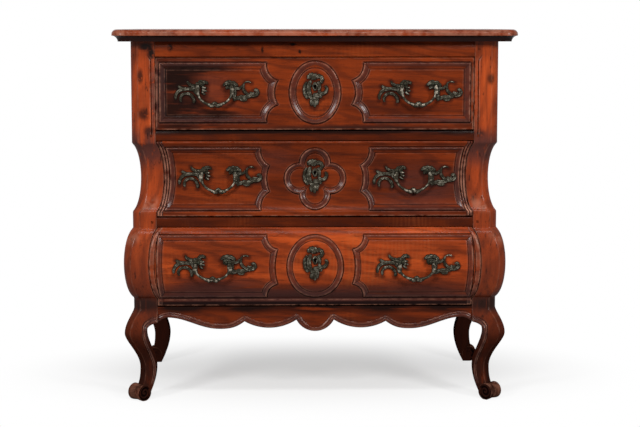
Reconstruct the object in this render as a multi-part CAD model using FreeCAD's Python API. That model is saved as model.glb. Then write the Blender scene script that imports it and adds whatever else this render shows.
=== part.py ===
"""Bombe chest: three drawers between four cabriole posts, in walnut with bronze handles.

Frame: millimetres, +Z up, origin on the floor under the middle of the top board.
The front faces -Y and X runs to the viewer's right. Most outlines are written as (out, z):
out is the distance outward from the block plane, the flat plane of the rails and post blocks.
"""
import FreeCAD, Part
import math
import os

Vector = FreeCAD.Vector

# ------------------------------------------------------------------ driving dimensions
CARCASE_WIDTH = 900.0
TOP_DEPTH = 568.0
TOP_THICKNESS = 29.0
SIDE_OVERHANG = 42.5
FRONT_OVERHANG = 48.0
REAR_OVERHANG = 15.0
TOP_CORNER_RADIUS = 32.0
TOP_NOSE_INSET = 13.0
TOP_NOSE_DROP = 11.0
TOP_NOSE_FLAT = 4.0
TOP_COVE_INSET = 15.0
TOP_RIM_WIDTH = 20.0

LEG_HEIGHT = 237.0
OPENING_HEIGHTS = {1: 181.5, 2: 190.0, 3: 199.5}
RAIL_HEIGHT = 23.0
FRIEZE_HEIGHT = 37.0

# The bombe line: a hollow round the middle drawer and a belly round the lowest one.
HOLLOW_DEPTH = 19.3
HOLLOW_LIP_ABOVE = 7.0
HOLLOW_LIP_BELOW = 14.3
BELLY_SWELL = 21.9
BELLY_LIP_ABOVE = 3.8
BELLY_LIP_BELOW = 20.8
END_FULLNESS = 0.15
ARCS_PER_CURVE = 3

# Posts and cabriole legs.
POST_WIDTH = 80.0
POST_DEPTH = 62.0
STILE_FACE = 60.0
SEAM_FOLLOW = 0.9
REAR_POST_DEPTH = 50.0
REAR_ANKLE_DEPTH = 40.0
BLOCK_CANT = 14.0
LEG_CANT = 12.0
KNEE_OUT = 21.9
KNEE_DROP = 65.0
ANKLE_IN = 12.6
ANKLE_HEIGHT = 80.0
FOOT_HEIGHT = 40.0
FOOT_IN = 7.5
CALF_BACK = 53.2
KNEE_BACK = 31.0
SCROLL_RADIUS = 21.0
SCROLL_LENGTH = 42.0
SCROLL_INSET = 11.5
SCROLL_AXIS_HEIGHT = 20.0

# Rails, apron, panels and back.
RAIL_DEPTH = 70.0
RAIL_LAP = 30.0
TENON_LENGTH = 22.0
TENON_THICKNESS = 12.0
TENON_SHOULDER = 5.0
RAIL_TENON_SETBACK = 9.0
APRON_TENON_SETBACK = 6.0
APRON_TENON_DROP = 24.0
PEG_WIDTH = 6.0
PEG_LENGTH = 36.0
PEG_OVERLENGTH = 12.0
FRONT_PEG_DROP = 14.5
SIDE_PEG_DROP = 10.0
APRON_BACK = 30.0
APRON_RISE = 26.5
APRON_DIP = 55.1
APRON_MIDDLE_DIP = 61.2
APRON_FLARE = 4.0
APRON_BEAD_HEIGHT = 8.0
APRON_BEAD_PROUD = 2.0
SIDE_RAIL_THICKNESS = 24.0
SIDE_APRON_BACK = 38.0
SIDE_APRON_RISE = 10.0
PANEL_THICKNESS = 16.0
PANEL_SETBACK = 8.0
PANEL_TONGUE = 8.0
REAR_RAIL_THICKNESS = 22.0
REAR_BOTTOM_RAIL_HEIGHT = 50.0
REAR_RAIL_DROP = 30.0
BACK_BOARD_THICKNESS = 12.0
BACK_BOARD_INSET = 2.0
BACK_BOARD_COUNT = 3
BACK_BOARD_DROP = 26.0
BACK_BOARD_GAP = 0.6
REBATE_WIDTH = 12.0

# Runners, dustboards and drawer boxes.
RUNNER_BEARING = 40.0
RUNNER_HEIGHT = 22.0
RUNNER_HOUSING = 10.0
GUIDE_HEIGHT = 24.0
KICKER_HEIGHT = 24.0
KICKER_DROP = 8.0
DUSTBOARD_THICKNESS = 10.0
DUSTBOARD_DROP = 4.0
DUSTBOARD_TONGUE = 8.0
FRONT_GAP_ABOVE = 1.5
FRONT_GAP_BELOW = 3.0
FRONT_GAP_END = 1.0
FRONT_EDGE_ROUND = 3.0
STOP_GAP = 0.3
RUNNING_GAP = 0.3
SIDE_GAP = 2.0
GUIDE_GAP = 1.0
DRAWER_SIDE_THICKNESS = 12.0
DRAWER_SIDE_DROP = 9.0
DRAWER_REAR_GAP = 8.0
DRAWER_BOTTOM_THICKNESS = 8.0
DRAWER_BOTTOM_RAISE = 8.0
DRAWER_GROOVE = 6.0
TAIL_COUNT = 3
TAIL_SPLAY = 2.0
SLIDING_TAIL_DEPTH = 8.0
SLIDING_TAIL_NECK = 6.0
SLIDING_TAIL_WIDTH = 10.0

# Ridge mouldings on the drawer fronts.
RIDGE_WIDTH = 9.0
RIDGE_HEIGHT = 4.0

# Handles, locks and escutcheons.
ROSE_THICKNESS = 3.5
LEAF_FLATS = 4
EYE_SPREAD = 34.0
EYE_ACROSS = 11.0
EYE_WIDTH = 5.0
EYE_BORE = 1.78
HINGE_PIN_RADIUS = 1.7
PIN_END = 30.5
PULL_STANDOFF = 16.0
SHANK_WIDTH = 5.0
SHANK_CLEARANCE = 0.1
NUT_WIDTH = 13.0
NUT_THICKNESS = 4.0
BAIL_HALF_WIDTH = 42.0
BAIL_DROP = 57.0
BAIL_FACETS = 9
BAIL_WIDTH = 6.4
BARREL_ACROSS = 8.4
BARREL_HALF = 4.2
BAIL_KNOP_WIDTH = 10.6
BAIL_COLLAR_WIDTH = 8.0
BAIL_KNOP_HALF = 14.0
ESCUTCHEON_THICKNESS = 3.0
KEYHOLE_WIDTH = 5.4
KEYHOLE_HEIGHT = 16.0
LOCK_WIDTH = 90.0
LOCK_THICKNESS = 14.0
LOCK_SET_IN = 12.0
LOCK_BELOW_KEYHOLE = 26.0
LOCK_WALL = 2.0
KEY_ROOM = 9.0
SELVEDGE_THICKNESS = 2.5
SELVEDGE_DEPTH = 20.0
LOCK_BOLT_WIDTH = 30.0
LOCK_BOLT_THICKNESS = 8.0
LOCK_BOLT_HEIGHT = 26.0
LOCK_BOLT_TRAVEL = 9.0
LOCK_BOLT_CLEARANCE = 0.3
STRIKE_ROOM = 2.0

# ------------------------------------------------------------------ levels and planes
TOP_WIDTH = CARCASE_WIDTH + 2 * SIDE_OVERHANG
HALF = CARCASE_WIDTH / 2
FRONT = FRONT_OVERHANG - TOP_DEPTH / 2
BACK = TOP_DEPTH / 2 - REAR_OVERHANG
FAR = 2 * max(TOP_WIDTH, TOP_DEPTH)
FRONT_POST_BACK = FRONT + POST_DEPTH
REAR_POST_FRONT = BACK - REAR_POST_DEPTH
POST_INNER = HALF - POST_WIDTH
SEAM = HALF - STILE_FACE

BOTTOM_3 = LEG_HEIGHT
TOP_3 = BOTTOM_3 + OPENING_HEIGHTS[3]
BOTTOM_2 = TOP_3 + RAIL_HEIGHT
TOP_2 = BOTTOM_2 + OPENING_HEIGHTS[2]
BOTTOM_1 = TOP_2 + RAIL_HEIGHT
TOP_1 = BOTTOM_1 + OPENING_HEIGHTS[1]
CARCASE_TOP = TOP_1 + FRIEZE_HEIGHT
TOTAL_HEIGHT = CARCASE_TOP + TOP_THICKNESS

HOLLOW_TOP = TOP_2 - HOLLOW_LIP_ABOVE
HOLLOW_BOTTOM = BOTTOM_2 + HOLLOW_LIP_BELOW
BELLY_TOP = TOP_3 - BELLY_LIP_ABOVE
BELLY_BOTTOM = BOTTOM_3 + BELLY_LIP_BELOW
KNEE_START = LEG_HEIGHT - 3.0
KNEE_HEIGHT = LEG_HEIGHT - KNEE_DROP
LEG_SHOULDER = LEG_HEIGHT - 31.0
APRON_SHOULDER = LEG_HEIGHT - 22.0
APRON_END = LEG_HEIGHT - 37.0
SIDE_APRON_TOP = BELLY_BOTTOM + 6.0

REAR_RAIL_BACK = BACK - BACK_BOARD_INSET - BACK_BOARD_THICKNESS
REAR_RAIL_FRONT = REAR_RAIL_BACK - REAR_RAIL_THICKNESS
RUNNER_END = REAR_RAIL_FRONT - 2.0
DRAWER_END = REAR_RAIL_FRONT - DRAWER_REAR_GAP
BOX_HALF = POST_INNER - SIDE_GAP
BOX_INNER = BOX_HALF - DRAWER_SIDE_THICKNESS
RUNNER_INNER = BOX_HALF - RUNNER_BEARING
GUIDE_FACE = BOX_HALF + GUIDE_GAP
RAIL_BACK = FRONT + RAIL_DEPTH
APRON_BACK_FACE = FRONT + APRON_BACK


def bulge(z_top, z_bottom, depth):
    """Cubic from the block plane at z_top back to it at z_bottom, `depth` out at its middle."""
    fullness = END_FULLNESS * (z_top - z_bottom)
    reach = depth / 0.75
    return [(0, z_top), (reach, z_top - fullness), (reach, z_bottom + fullness), (0, z_bottom)]


BODY_LINE = [
    [(0, CARCASE_TOP), (0, HOLLOW_TOP)],
    bulge(HOLLOW_TOP, HOLLOW_BOTTOM, -HOLLOW_DEPTH),
    [(0, HOLLOW_BOTTOM), (0, BELLY_TOP)],
    bulge(BELLY_TOP, BELLY_BOTTOM, BELLY_SWELL),
    [(0, BELLY_BOTTOM), (0, KNEE_START)],
]

LEG_OUTER = [
    [(0, KNEE_START), (0, KNEE_START - 12), (KNEE_OUT, KNEE_HEIGHT + 27), (KNEE_OUT, KNEE_HEIGHT)],
    [(KNEE_OUT, KNEE_HEIGHT), (KNEE_OUT, KNEE_HEIGHT - 21), (-ANKLE_IN, ANKLE_HEIGHT + 36),
     (-ANKLE_IN, ANKLE_HEIGHT)],
    [(-ANKLE_IN, ANKLE_HEIGHT), (-ANKLE_IN, ANKLE_HEIGHT - 20), (-FOOT_IN - 3, FOOT_HEIGHT + 9),
     (-FOOT_IN, FOOT_HEIGHT)],
    [(-FOOT_IN, FOOT_HEIGHT), (-FOOT_IN, 0)],
]

LEG_INNER = [
    [(-CALF_BACK + 23, 0), (-CALF_BACK + 12, 20), (-CALF_BACK, ANKLE_HEIGHT - 30),
     (-CALF_BACK, ANKLE_HEIGHT)],
    [(-CALF_BACK, ANKLE_HEIGHT), (-CALF_BACK, ANKLE_HEIGHT + 28), (-KNEE_BACK, KNEE_HEIGHT - 26),
     (-KNEE_BACK, KNEE_HEIGHT)],
    [(-KNEE_BACK, KNEE_HEIGHT), (-KNEE_BACK, KNEE_HEIGHT + 13), (-KNEE_BACK - 8, APRON_END - 4),
     (-STILE_FACE, APRON_END)],
]


def outward(z):
    """How far the bombe line stands out of the block plane at height z."""
    for piece in BODY_LINE:
        if not piece[-1][1] <= z <= piece[0][1]:
            continue
        if len(piece) == 2:
            return piece[0][0]
        low, high = 0.0, 1.0
        for _ in range(40):
            middle = (low + high) / 2
            low, high = (middle, high) if bezier(piece, middle)[1] > z else (low, middle)
        return bezier(piece, low)[0]
    return 0.0


def bezier(poles, t):
    """Point at t on the cubic with these four poles."""
    weights = ((1 - t) ** 3, 3 * t * (1 - t) ** 2, 3 * t * t * (1 - t), t ** 3)
    return tuple(sum(w * pole[axis] for w, pole in zip(weights, poles)) for axis in (0, 1))


# ------------------------------------------------------------------ outlines and solids
def arcs_along(piece):
    """A cubic piece, given by four poles, as a run of arcs through points on it."""
    if len(piece) < 4:
        return [piece]
    points = [bezier(piece, i / (2 * ARCS_PER_CURVE)) for i in range(2 * ARCS_PER_CURVE + 1)]
    return [points[i:i + 3] for i in range(0, 2 * ARCS_PER_CURVE, 2)]


def edge(points):
    """A line through two points or an arc through three."""
    if len(points) == 2:
        return Part.makeLine(points[0], points[1])
    return Part.Arc(points[0], points[1], points[2]).toShape()


def closed(pieces):
    """Link outline pieces end to end with straight lines, and close the loop."""
    linked = []
    for piece, following in zip(pieces, pieces[1:] + pieces[:1]):
        linked.append(piece)
        if math.dist(piece[-1], following[0]) > 1e-6:
            linked.append([piece[-1], following[0]])
    return linked


def shifted(pieces, offset, follow=1.0):
    """The pieces with out scaled by `follow` and moved by `offset`."""
    return [[(offset + follow * out, z) for out, z in piece] for piece in pieces]


def reverse(pieces):
    return [list(reversed(piece)) for piece in reversed(pieces)]


def mirrored_outline(pieces):
    """Close a right-hand outline, given from top to bottom, with its mirror image."""
    left = [[(-a, z) for a, z in piece] for piece in reverse(pieces)]
    return closed(pieces + left)


def wire(pieces, place):
    """Closed wire of an outline: `place` puts each of its points into space."""
    return Part.Wire([edge([place(a, z) for a, z in arc]) for piece in pieces for arc in arcs_along(piece)])


def prism_along_y(pieces, y0=-FAR, y1=FAR):
    """Solid swept along Y from an outline of (x, z) points."""
    outline = wire(pieces, lambda x, z: Vector(x, y0, z))
    return Part.Face(outline).extrude(Vector(0, y1 - y0, 0))


def prism_along_x(pieces, x0=-FAR, x1=FAR):
    """Solid swept along X from an outline of (y, z) points."""
    outline = wire(pieces, lambda y, z: Vector(x0, y, z))
    return Part.Face(outline).extrude(Vector(x1 - x0, 0, 0))


def box(x0, x1, y0, y1, z0, z1):
    return Part.makeBox(x1 - x0, y1 - y0, z1 - z0, Vector(x0, y0, z0))


def rod(radius, start, end):
    direction = end - start
    return Part.makeCylinder(radius, direction.Length, start, direction)


def eight_sided(across, centre, direction):
    """Octagon, `across` from flat to flat, in the plane through centre that faces direction."""
    side = Vector(0, 0, 1) if abs(direction.z) < 0.9 else Vector(1, 0, 0)
    u = direction.cross(side).normalize()
    v = direction.cross(u).normalize()
    reach = across / 2 / math.cos(math.pi / 8)
    turns = [(i + 0.5) * math.pi / 4 for i in range(9)]
    return Part.makePolygon([centre + u * (reach * math.cos(t)) + v * (reach * math.sin(t)) for t in turns])


def octagon_bar(across, start, end):
    return Part.Face(eight_sided(across, start, (end - start).normalize())).extrude(end - start)


def mirror(shape):
    """The same shape on the other side of the chest."""
    return shape.mirror(Vector(0, 0, 0), Vector(1, 0, 0))


def pair(shape):
    return shape.fuse(mirror(shape))


def fused(shapes):
    whole = shapes[0].fuse(shapes[1:]) if len(shapes) > 1 else shapes[0]
    return whole.removeSplitter()


def front_block(back, proud=0.0):
    """Everything from the bombe front surface, raised by `proud`, to the plane y = back."""
    face = [[(FRONT - out - proud, z) for out, z in piece] for piece in BODY_LINE]
    return prism_along_x(closed(face + [[(back, KNEE_START), (back, CARCASE_TOP)]]))


def between_stiles(gap=0.0):
    """Everything between the two stile seams, drawn in by `gap` at each end."""
    return prism_along_y(mirrored_outline(shifted(BODY_LINE, SEAM - gap, SEAM_FOLLOW)))


# ------------------------------------------------------------------ top board
def three_sides(inset):
    """Line along the left end, the front and the right end of the top, its corners rounded."""
    x, front, radius = TOP_WIDTH / 2 - inset, -TOP_DEPTH / 2 + inset, TOP_CORNER_RADIUS - inset
    sag = radius * (1 - math.sqrt(0.5))
    pieces = [
        [(-x, TOP_DEPTH / 2), (-x, front + radius)],
        [(-x, front + radius), (-x + sag, front + sag), (-x + radius, front)],
        [(-x + radius, front), (x - radius, front)],
        [(x - radius, front), (x - sag, front + sag), (x, front + radius)],
        [(x, front + radius), (x, TOP_DEPTH / 2)],
    ]
    return pieces


def top_board():
    """Board with a thumbnail above its nose and a cove below it, plain along the back."""
    nose = TOP_WIDTH / 2
    top, nose_top = TOTAL_HEIGHT, TOTAL_HEIGHT - TOP_NOSE_DROP
    nose_bottom = nose_top - TOP_NOSE_FLAT
    cove_height = nose_bottom - CARCASE_TOP
    thumbnail = (nose - 0.28 * TOP_NOSE_INSET, top - 0.3 * TOP_NOSE_DROP)
    hollow = (nose - 0.7 * TOP_COVE_INSET, CARCASE_TOP + 0.7 * cove_height)
    section = [
        [(nose - TOP_RIM_WIDTH, top), (nose - TOP_NOSE_INSET, top)],
        [(nose - TOP_NOSE_INSET, top), thumbnail, (nose, nose_top)],
        [(nose, nose_top), (nose, nose_bottom)],
        [(nose, nose_bottom), hollow, (nose - TOP_COVE_INSET, CARCASE_TOP)],
        [(nose - TOP_COVE_INSET, CARCASE_TOP), (nose - TOP_RIM_WIDTH, CARCASE_TOP)],
    ]
    profile = wire(closed(section), lambda x, z: Vector(-x, TOP_DEPTH / 2, z))
    path = wire(three_sides(0), lambda x, y: Vector(x, y, nose_top))
    rim = path.makePipeShell([profile], True, False)
    core_outline = wire(closed(three_sides(TOP_RIM_WIDTH)), lambda x, y: Vector(x, y, CARCASE_TOP))
    core = Part.Face(core_outline).extrude(Vector(0, 0, TOP_THICKNESS))
    return fused([core, rim])


# ------------------------------------------------------------------ posts
def post_outline(inner_face, shoulder):
    """Outline of a post in (out, z), its inner face `inner_face` behind the block plane."""
    inner = LEG_INNER + [[(-inner_face, shoulder), (-inner_face, CARCASE_TOP)]]
    return closed(BODY_LINE + LEG_OUTER + inner)


def scroll_foot(centre, axis):
    """Volute foot: a short roll, flat where it stands."""
    roll = rod(SCROLL_RADIUS, centre - axis * (SCROLL_LENGTH / 2), centre + axis * (SCROLL_LENGTH / 2))
    return roll.common(box(-FAR, FAR, -FAR, FAR, 0, FAR))


def front_post():
    """Right front post: the bombe line and the cabriole curve on both faces, corner canted."""
    seen_from_front = shifted(post_outline(POST_WIDTH, APRON_SHOULDER), HALF)
    side_outline = post_outline(POST_DEPTH, LEG_SHOULDER)
    seen_from_side = [[(FRONT - out, z) for out, z in piece] for piece in side_outline]
    blank = prism_along_y(seen_from_front).common(prism_along_x(seen_from_side, 0))
    corner = Vector(HALF, FRONT, 0)
    outwards = Vector(1, -1, 0).normalize()
    across = Vector(1, 1, 0).normalize()
    canted = [[(math.sqrt(2) * out - BLOCK_CANT, z) for out, z in piece] for piece in BODY_LINE]
    knee, calf, ankle, foot = LEG_OUTER
    for piece, cants in ((knee, (BLOCK_CANT, BLOCK_CANT, LEG_CANT, LEG_CANT)), (calf, (LEG_CANT,) * 4),
                         (ankle, (LEG_CANT,) * 4), (foot, (LEG_CANT,) * 2)):
        canted.append([(math.sqrt(2) * out - cant, z) for (out, z), cant in zip(piece, cants)])
    canted.append([(-3 * POST_WIDTH, 0), (-3 * POST_WIDTH, CARCASE_TOP)])
    start = corner - across * (2 * POST_WIDTH)
    diagonal = wire(closed(canted), lambda out, z: start + outwards * out + Vector(0, 0, z))
    blank = blank.common(Part.Face(diagonal).extrude(across * (4 * POST_WIDTH)))
    centre = Vector(HALF - SCROLL_INSET, FRONT + SCROLL_INSET, SCROLL_AXIS_HEIGHT)
    return blank.fuse(scroll_foot(centre, across))


def rear_post():
    """Right rear post: the same curves towards the side and a flat back."""
    seen_from_front = shifted(post_outline(POST_WIDTH, LEG_SHOULDER), HALF)
    ankle_front = BACK - REAR_ANKLE_DEPTH
    side = [
        [(BACK, CARCASE_TOP), (BACK, 0)],
        [(ankle_front - 4, 0), (ankle_front, ANKLE_HEIGHT / 3), (ankle_front, ANKLE_HEIGHT * 2 / 3),
         (ankle_front, ANKLE_HEIGHT)],
        [(ankle_front, ANKLE_HEIGHT), (ankle_front, KNEE_HEIGHT - 30), (REAR_POST_FRONT, KNEE_HEIGHT),
         (REAR_POST_FRONT, LEG_SHOULDER)],
        [(REAR_POST_FRONT, LEG_SHOULDER), (REAR_POST_FRONT, CARCASE_TOP)],
    ]
    blank = prism_along_y(seen_from_front).common(prism_along_x(closed(side), 0))
    centre = Vector(HALF - SCROLL_INSET, BACK - SCROLL_LENGTH / 2, SCROLL_AXIS_HEIGHT)
    return blank.fuse(scroll_foot(centre, Vector(0, 1, 0)))


# ------------------------------------------------------------------ rails, apron, sides, back
def front_rail(z0, z1):
    """Rail between the front posts: lapped over their inner faces and tenoned into them."""
    lap = box(-SEAM, SEAM, FRONT, FRONT + RAIL_LAP, z0, z1)
    body = box(-POST_INNER, POST_INNER, FRONT, RAIL_BACK, z0, z1)
    tenon_back = FRONT + RAIL_LAP - RAIL_TENON_SETBACK
    tenon = box(-SEAM - TENON_LENGTH, SEAM + TENON_LENGTH, tenon_back - TENON_THICKNESS, tenon_back,
                z0 + TENON_SHOULDER, z1 - TENON_SHOULDER)
    return fused([lap, body, tenon])


def apron_outline():
    """Shaped apron in (x, z): scrolled ends, two lobes and a round middle between cusps."""
    half, end = SEAM, APRON_END
    rise, dip = LEG_HEIGHT - APRON_RISE, LEG_HEIGHT - APRON_DIP
    return [
        [(half, LEG_HEIGHT), (half, end)],
        [(half, end), (half * 0.979, end + 3.5), (half * 0.964, rise), (half * 0.935, rise)],
        [(half * 0.935, rise), (half * 0.814, rise), (half * 0.736, dip), (half * 0.604, dip)],
        [(half * 0.604, dip), (half * 0.547, dip), (half * 0.504, dip + 2), (half * 0.449, dip + 18.8)],
        [(half * 0.449, dip + 18.8), (half * 0.302, dip + 2.5), (half * 0.119, dip + 22.5)],
    ]


def front_apron():
    """Apron flaring slightly forward to a bead that follows its shaped lower edge."""
    right = apron_outline()
    centre = [[right[-1][-1], (0, LEG_HEIGHT - APRON_MIDDLE_DIP), (-right[-1][-1][0], right[-1][-1][1])]]
    left = [[(-x, z) for x, z in piece] for piece in reverse(right)]
    shape = closed(right + centre + left)
    lowest = LEG_HEIGHT - 80.0

    def slab(proud):
        front = [(FRONT - out - proud, z) for out, z in
                 ((0, LEG_HEIGHT), (0, LEG_HEIGHT - 14),
                  (APRON_FLARE, LEG_HEIGHT - 34), (APRON_FLARE, lowest))]
        back = [(APRON_BACK_FACE, lowest), (APRON_BACK_FACE, LEG_HEIGHT)]
        return prism_along_x(closed([front, back]))

    board = prism_along_y(shape)
    band = board.cut(prism_along_y([[(x, z + APRON_BEAD_HEIGHT) for x, z in piece] for piece in shape]))
    tenon_back = APRON_BACK_FACE - APRON_TENON_SETBACK
    tenon = box(-SEAM - TENON_LENGTH, SEAM + TENON_LENGTH, tenon_back - TENON_THICKNESS, tenon_back,
                LEG_HEIGHT - APRON_TENON_DROP, LEG_HEIGHT - TENON_SHOULDER)
    return fused([board.common(slab(0)), band.common(slab(APRON_BEAD_PROUD)), tenon])


def side_top_rail():
    z0 = CARCASE_TOP - FRIEZE_HEIGHT
    rail = box(HALF - SIDE_RAIL_THICKNESS, HALF, FRONT_POST_BACK, REAR_POST_FRONT, z0, CARCASE_TOP)
    middle = HALF - SIDE_RAIL_THICKNESS / 2
    tenon = box(middle - TENON_THICKNESS / 2, middle + TENON_THICKNESS / 2,
                FRONT_POST_BACK - TENON_LENGTH, REAR_POST_FRONT + TENON_LENGTH,
                z0 + TENON_SHOULDER + PANEL_TONGUE, CARCASE_TOP - TENON_SHOULDER)
    return fused([rail, tenon])


def side_apron():
    """Lower side rail, its outer face on the bombe line and its lower edge gently arched."""
    low = APRON_END
    line = shifted(BODY_LINE + [[(0, KNEE_START), (0, low - 20)]], HALF)
    inner = HALF - SIDE_APRON_BACK
    section = prism_along_y(closed(line + [[(inner, low - 20), (inner, CARCASE_TOP)]]))
    front, rear = FRONT_POST_BACK, REAR_POST_FRONT
    third = (rear - front) / 3
    arch = low + 1.4 * SIDE_APRON_RISE
    side = closed([
        [(front, SIDE_APRON_TOP), (front, low)],
        [(front, low), (front + third, arch), (rear - third, arch), (rear, low)],
        [(rear, low), (rear, SIDE_APRON_TOP)],
    ])
    tenon = box(inner + TENON_THICKNESS / 2, inner + 1.5 * TENON_THICKNESS, front - TENON_LENGTH,
                rear + TENON_LENGTH, low + TENON_THICKNESS, BELLY_BOTTOM - PANEL_TONGUE)
    return fused([section.common(prism_along_x(side, 0)), tenon])


def side_panel():
    """Bombe panel, tongued into the posts and rails on all four sides."""
    outer = shifted(BODY_LINE, HALF - PANEL_SETBACK)
    inner = shifted(BODY_LINE, HALF - PANEL_SETBACK - PANEL_THICKNESS)
    curved = prism_along_y(closed(outer + reverse(inner)))
    return curved.common(box(0, FAR, FRONT_POST_BACK - PANEL_TONGUE, REAR_POST_FRONT + PANEL_TONGUE,
                             SIDE_APRON_TOP - PANEL_TONGUE, CARCASE_TOP - FRIEZE_HEIGHT + PANEL_TONGUE))


def rear_rail(z0, z1):
    rail = box(-POST_INNER, POST_INNER, REAR_RAIL_FRONT, REAR_RAIL_BACK, z0, z1)
    middle = (REAR_RAIL_FRONT + REAR_RAIL_BACK) / 2
    tenon = box(-POST_INNER - TENON_LENGTH, POST_INNER + TENON_LENGTH, middle - TENON_THICKNESS / 2,
                middle + TENON_THICKNESS / 2, z0 + TENON_SHOULDER, z1 - TENON_SHOULDER)
    return fused([rail, tenon])


def back_boards():
    """Three planks across the back, in the rebates of the rear posts."""
    low, half = LEG_HEIGHT - BACK_BOARD_DROP, POST_INNER + REBATE_WIDTH
    pitch = (CARCASE_TOP - low) / BACK_BOARD_COUNT
    return [box(-half, half, REAR_RAIL_BACK, REAR_RAIL_BACK + BACK_BOARD_THICKNESS,
                low + i * pitch, low + (i + 1) * pitch - BACK_BOARD_GAP) for i in range(BACK_BOARD_COUNT)]


def runner(level, front_face):
    """Right drawer runner: a bearer under the drawer side and a guide strip outside it."""
    z0 = level - RUNNER_HEIGHT
    bearer = box(RUNNER_INNER, POST_INNER, front_face, RUNNER_END, z0, level)
    outer = box(POST_INNER, SEAM, FRONT_POST_BACK - RUNNER_HOUSING, REAR_POST_FRONT + RUNNER_HOUSING,
                z0, level)
    guide = box(GUIDE_FACE, SEAM, FRONT_POST_BACK, REAR_POST_FRONT, z0, level + GUIDE_HEIGHT)
    tongue = box(RUNNER_INNER + RUNNER_HOUSING, POST_INNER - DRAWER_GROOVE, front_face - RUNNER_HOUSING,
                 front_face, z0 + TENON_SHOULDER, level - TENON_SHOULDER)
    return fused([bearer, outer, guide, tongue])


def kicker():
    """Strip under the top that keeps the open top drawer from tipping."""
    z1 = CARCASE_TOP - KICKER_DROP
    return box(RUNNER_INNER, BOX_HALF, RAIL_BACK - RUNNER_HOUSING, REAR_RAIL_FRONT + RUNNER_HOUSING,
               z1 - KICKER_HEIGHT, z1)


def dustboard(level, front_face, rear_face):
    z1 = level - DUSTBOARD_DROP
    half = RUNNER_INNER + DUSTBOARD_TONGUE
    return box(-half, half, front_face - DUSTBOARD_TONGUE, rear_face, z1 - DUSTBOARD_THICKNESS, z1)


def peg(x, y, z, direction, blank):
    """Square riven peg that pins a tenon, trimmed flush with the face of the post."""
    across = Vector(abs(direction.y), abs(direction.x), 0)
    half = (across + Vector(0, 0, 1)) * (PEG_WIDTH / 2)
    corner = Vector(x, y, z) - half - direction * PEG_OVERLENGTH
    length = direction * (PEG_LENGTH + PEG_OVERLENGTH)
    square = Part.makePolygon([corner, corner + across * PEG_WIDTH, corner + half * 2,
                               corner + Vector(0, 0, PEG_WIDTH), corner])
    return Part.Face(square).extrude(length).common(blank)


# ------------------------------------------------------------------ drawers
class Drawer:
    """Sizes that differ from drawer to drawer, top drawer first."""

    def __init__(self, number, bottom, back, end_margin, end_follow, ridge_drop, ridge_raise,
                 corner_x, tip_x, waist_x, tip_half, pull_raise, pull_left, pull_right, plate_raise):
        self.name = f"drawer_{number}"
        self.bottom = bottom
        self.top = bottom + OPENING_HEIGHTS[number]
        self.back = FRONT + back
        self.front_bottom = bottom + FRONT_GAP_BELOW
        self.front_top = self.top - FRONT_GAP_ABOVE
        self.end_margin, self.end_follow = end_margin, end_follow
        self.ridge_top, self.ridge_bottom = self.top - ridge_drop, bottom + ridge_raise
        self.middle = (self.ridge_top + self.ridge_bottom) / 2
        self.corner_x, self.tip_x, self.waist_x, self.tip_half = corner_x, tip_x, waist_x, tip_half
        self.pivot_z = self.middle + pull_raise
        self.pivot_y = FRONT - outward(self.pivot_z) - PULL_STANDOFF
        self.pull_x = (pull_left, pull_right)
        self.plate_z = self.middle + plate_raise
        self.keyhole_z = self.plate_z + 4.0
        flat_above = {1: OPENING_HEIGHTS[1], 2: HOLLOW_LIP_ABOVE, 3: BELLY_LIP_ABOVE}[number]
        self.edge_round = min(FRONT_EDGE_ROUND, 0.8 * (flat_above - FRONT_GAP_ABOVE))
        self.side_bottom = bottom + RUNNING_GAP
        self.side_top = self.top - DRAWER_SIDE_DROP


DRAWERS = [
    Drawer(1, BOTTOM_1, 26.0, 9.0, 1.0, 13.7, 21.0, 118.0, 90.0, 99.0, 29.8, 21.7, -244.0, 253.0, 8.0),
    Drawer(2, BOTTOM_2, 44.6, 17.0, 0.8, 17.3, 17.2, 133.0, 112.0, 119.5, 32.5, 21.0, -238.0, 242.0, 7.8),
    Drawer(3, BOTTOM_3, 28.0, 8.0, 0.4, 18.0, 23.5, 119.0, 92.0, 99.0, 43.8, 13.6, -252.0, 249.0, 10.3),
]


def panel_outline(drawer):
    """Right-hand ridge in (x, z): it bows in to two tips beside the middle motif."""
    top, bottom, middle = drawer.ridge_top, drawer.ridge_bottom, drawer.middle
    end_x = SEAM - drawer.end_margin
    upper, lower = middle + drawer.tip_half, middle - drawer.tip_half
    corner, tip, waist = drawer.corner_x, drawer.tip_x, drawer.waist_x
    round_x = tip + (corner - tip) * math.sqrt(0.5)
    heights = [bottom + (top - bottom) * share for share in (0.0, 0.5, 1.0)]
    end = [(end_x + drawer.end_follow * outward(z), z) for z in heights]
    outer = [end] if abs(end[1][0] - end[0][0]) > 0.5 else [[end[0], end[2]]]
    return closed(outer + [
        [end[2], (corner, top)],
        [(corner, top), (round_x, top - (top - upper) * math.sqrt(0.5)), (tip, upper)],
        [(tip, upper), (waist, middle), (tip, lower)],
        [(tip, lower), (round_x, bottom + (lower - bottom) * math.sqrt(0.5)), (corner, bottom)],
    ])


def in_front_plane(pieces):
    return Part.Face(wire(pieces, lambda x, z: Vector(x, -FAR, z)))


def disc(x, z, radius):
    return Part.Face(Part.Wire(Part.Circle(Vector(x, -FAR, z), Vector(0, 1, 0), radius).toShape()))


def oval(z, half_width, half_height):
    """Upright oval about x = 0 from arcs: two wide ones at the sides, a round one at each end."""
    shoulder = (0.75 * half_width, 0.66 * half_height)
    side = [(shoulder[0], z + shoulder[1]), (half_width, z), (shoulder[0], z - shoulder[1])]
    head = [(-shoulder[0], z + shoulder[1]), (0, z + half_height), (shoulder[0], z + shoulder[1])]
    foot = [(a, 2 * z - b) for a, b in reversed(head)]
    return in_front_plane([head, side, foot, [(-a, b) for a, b in reversed(side)]])


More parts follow.
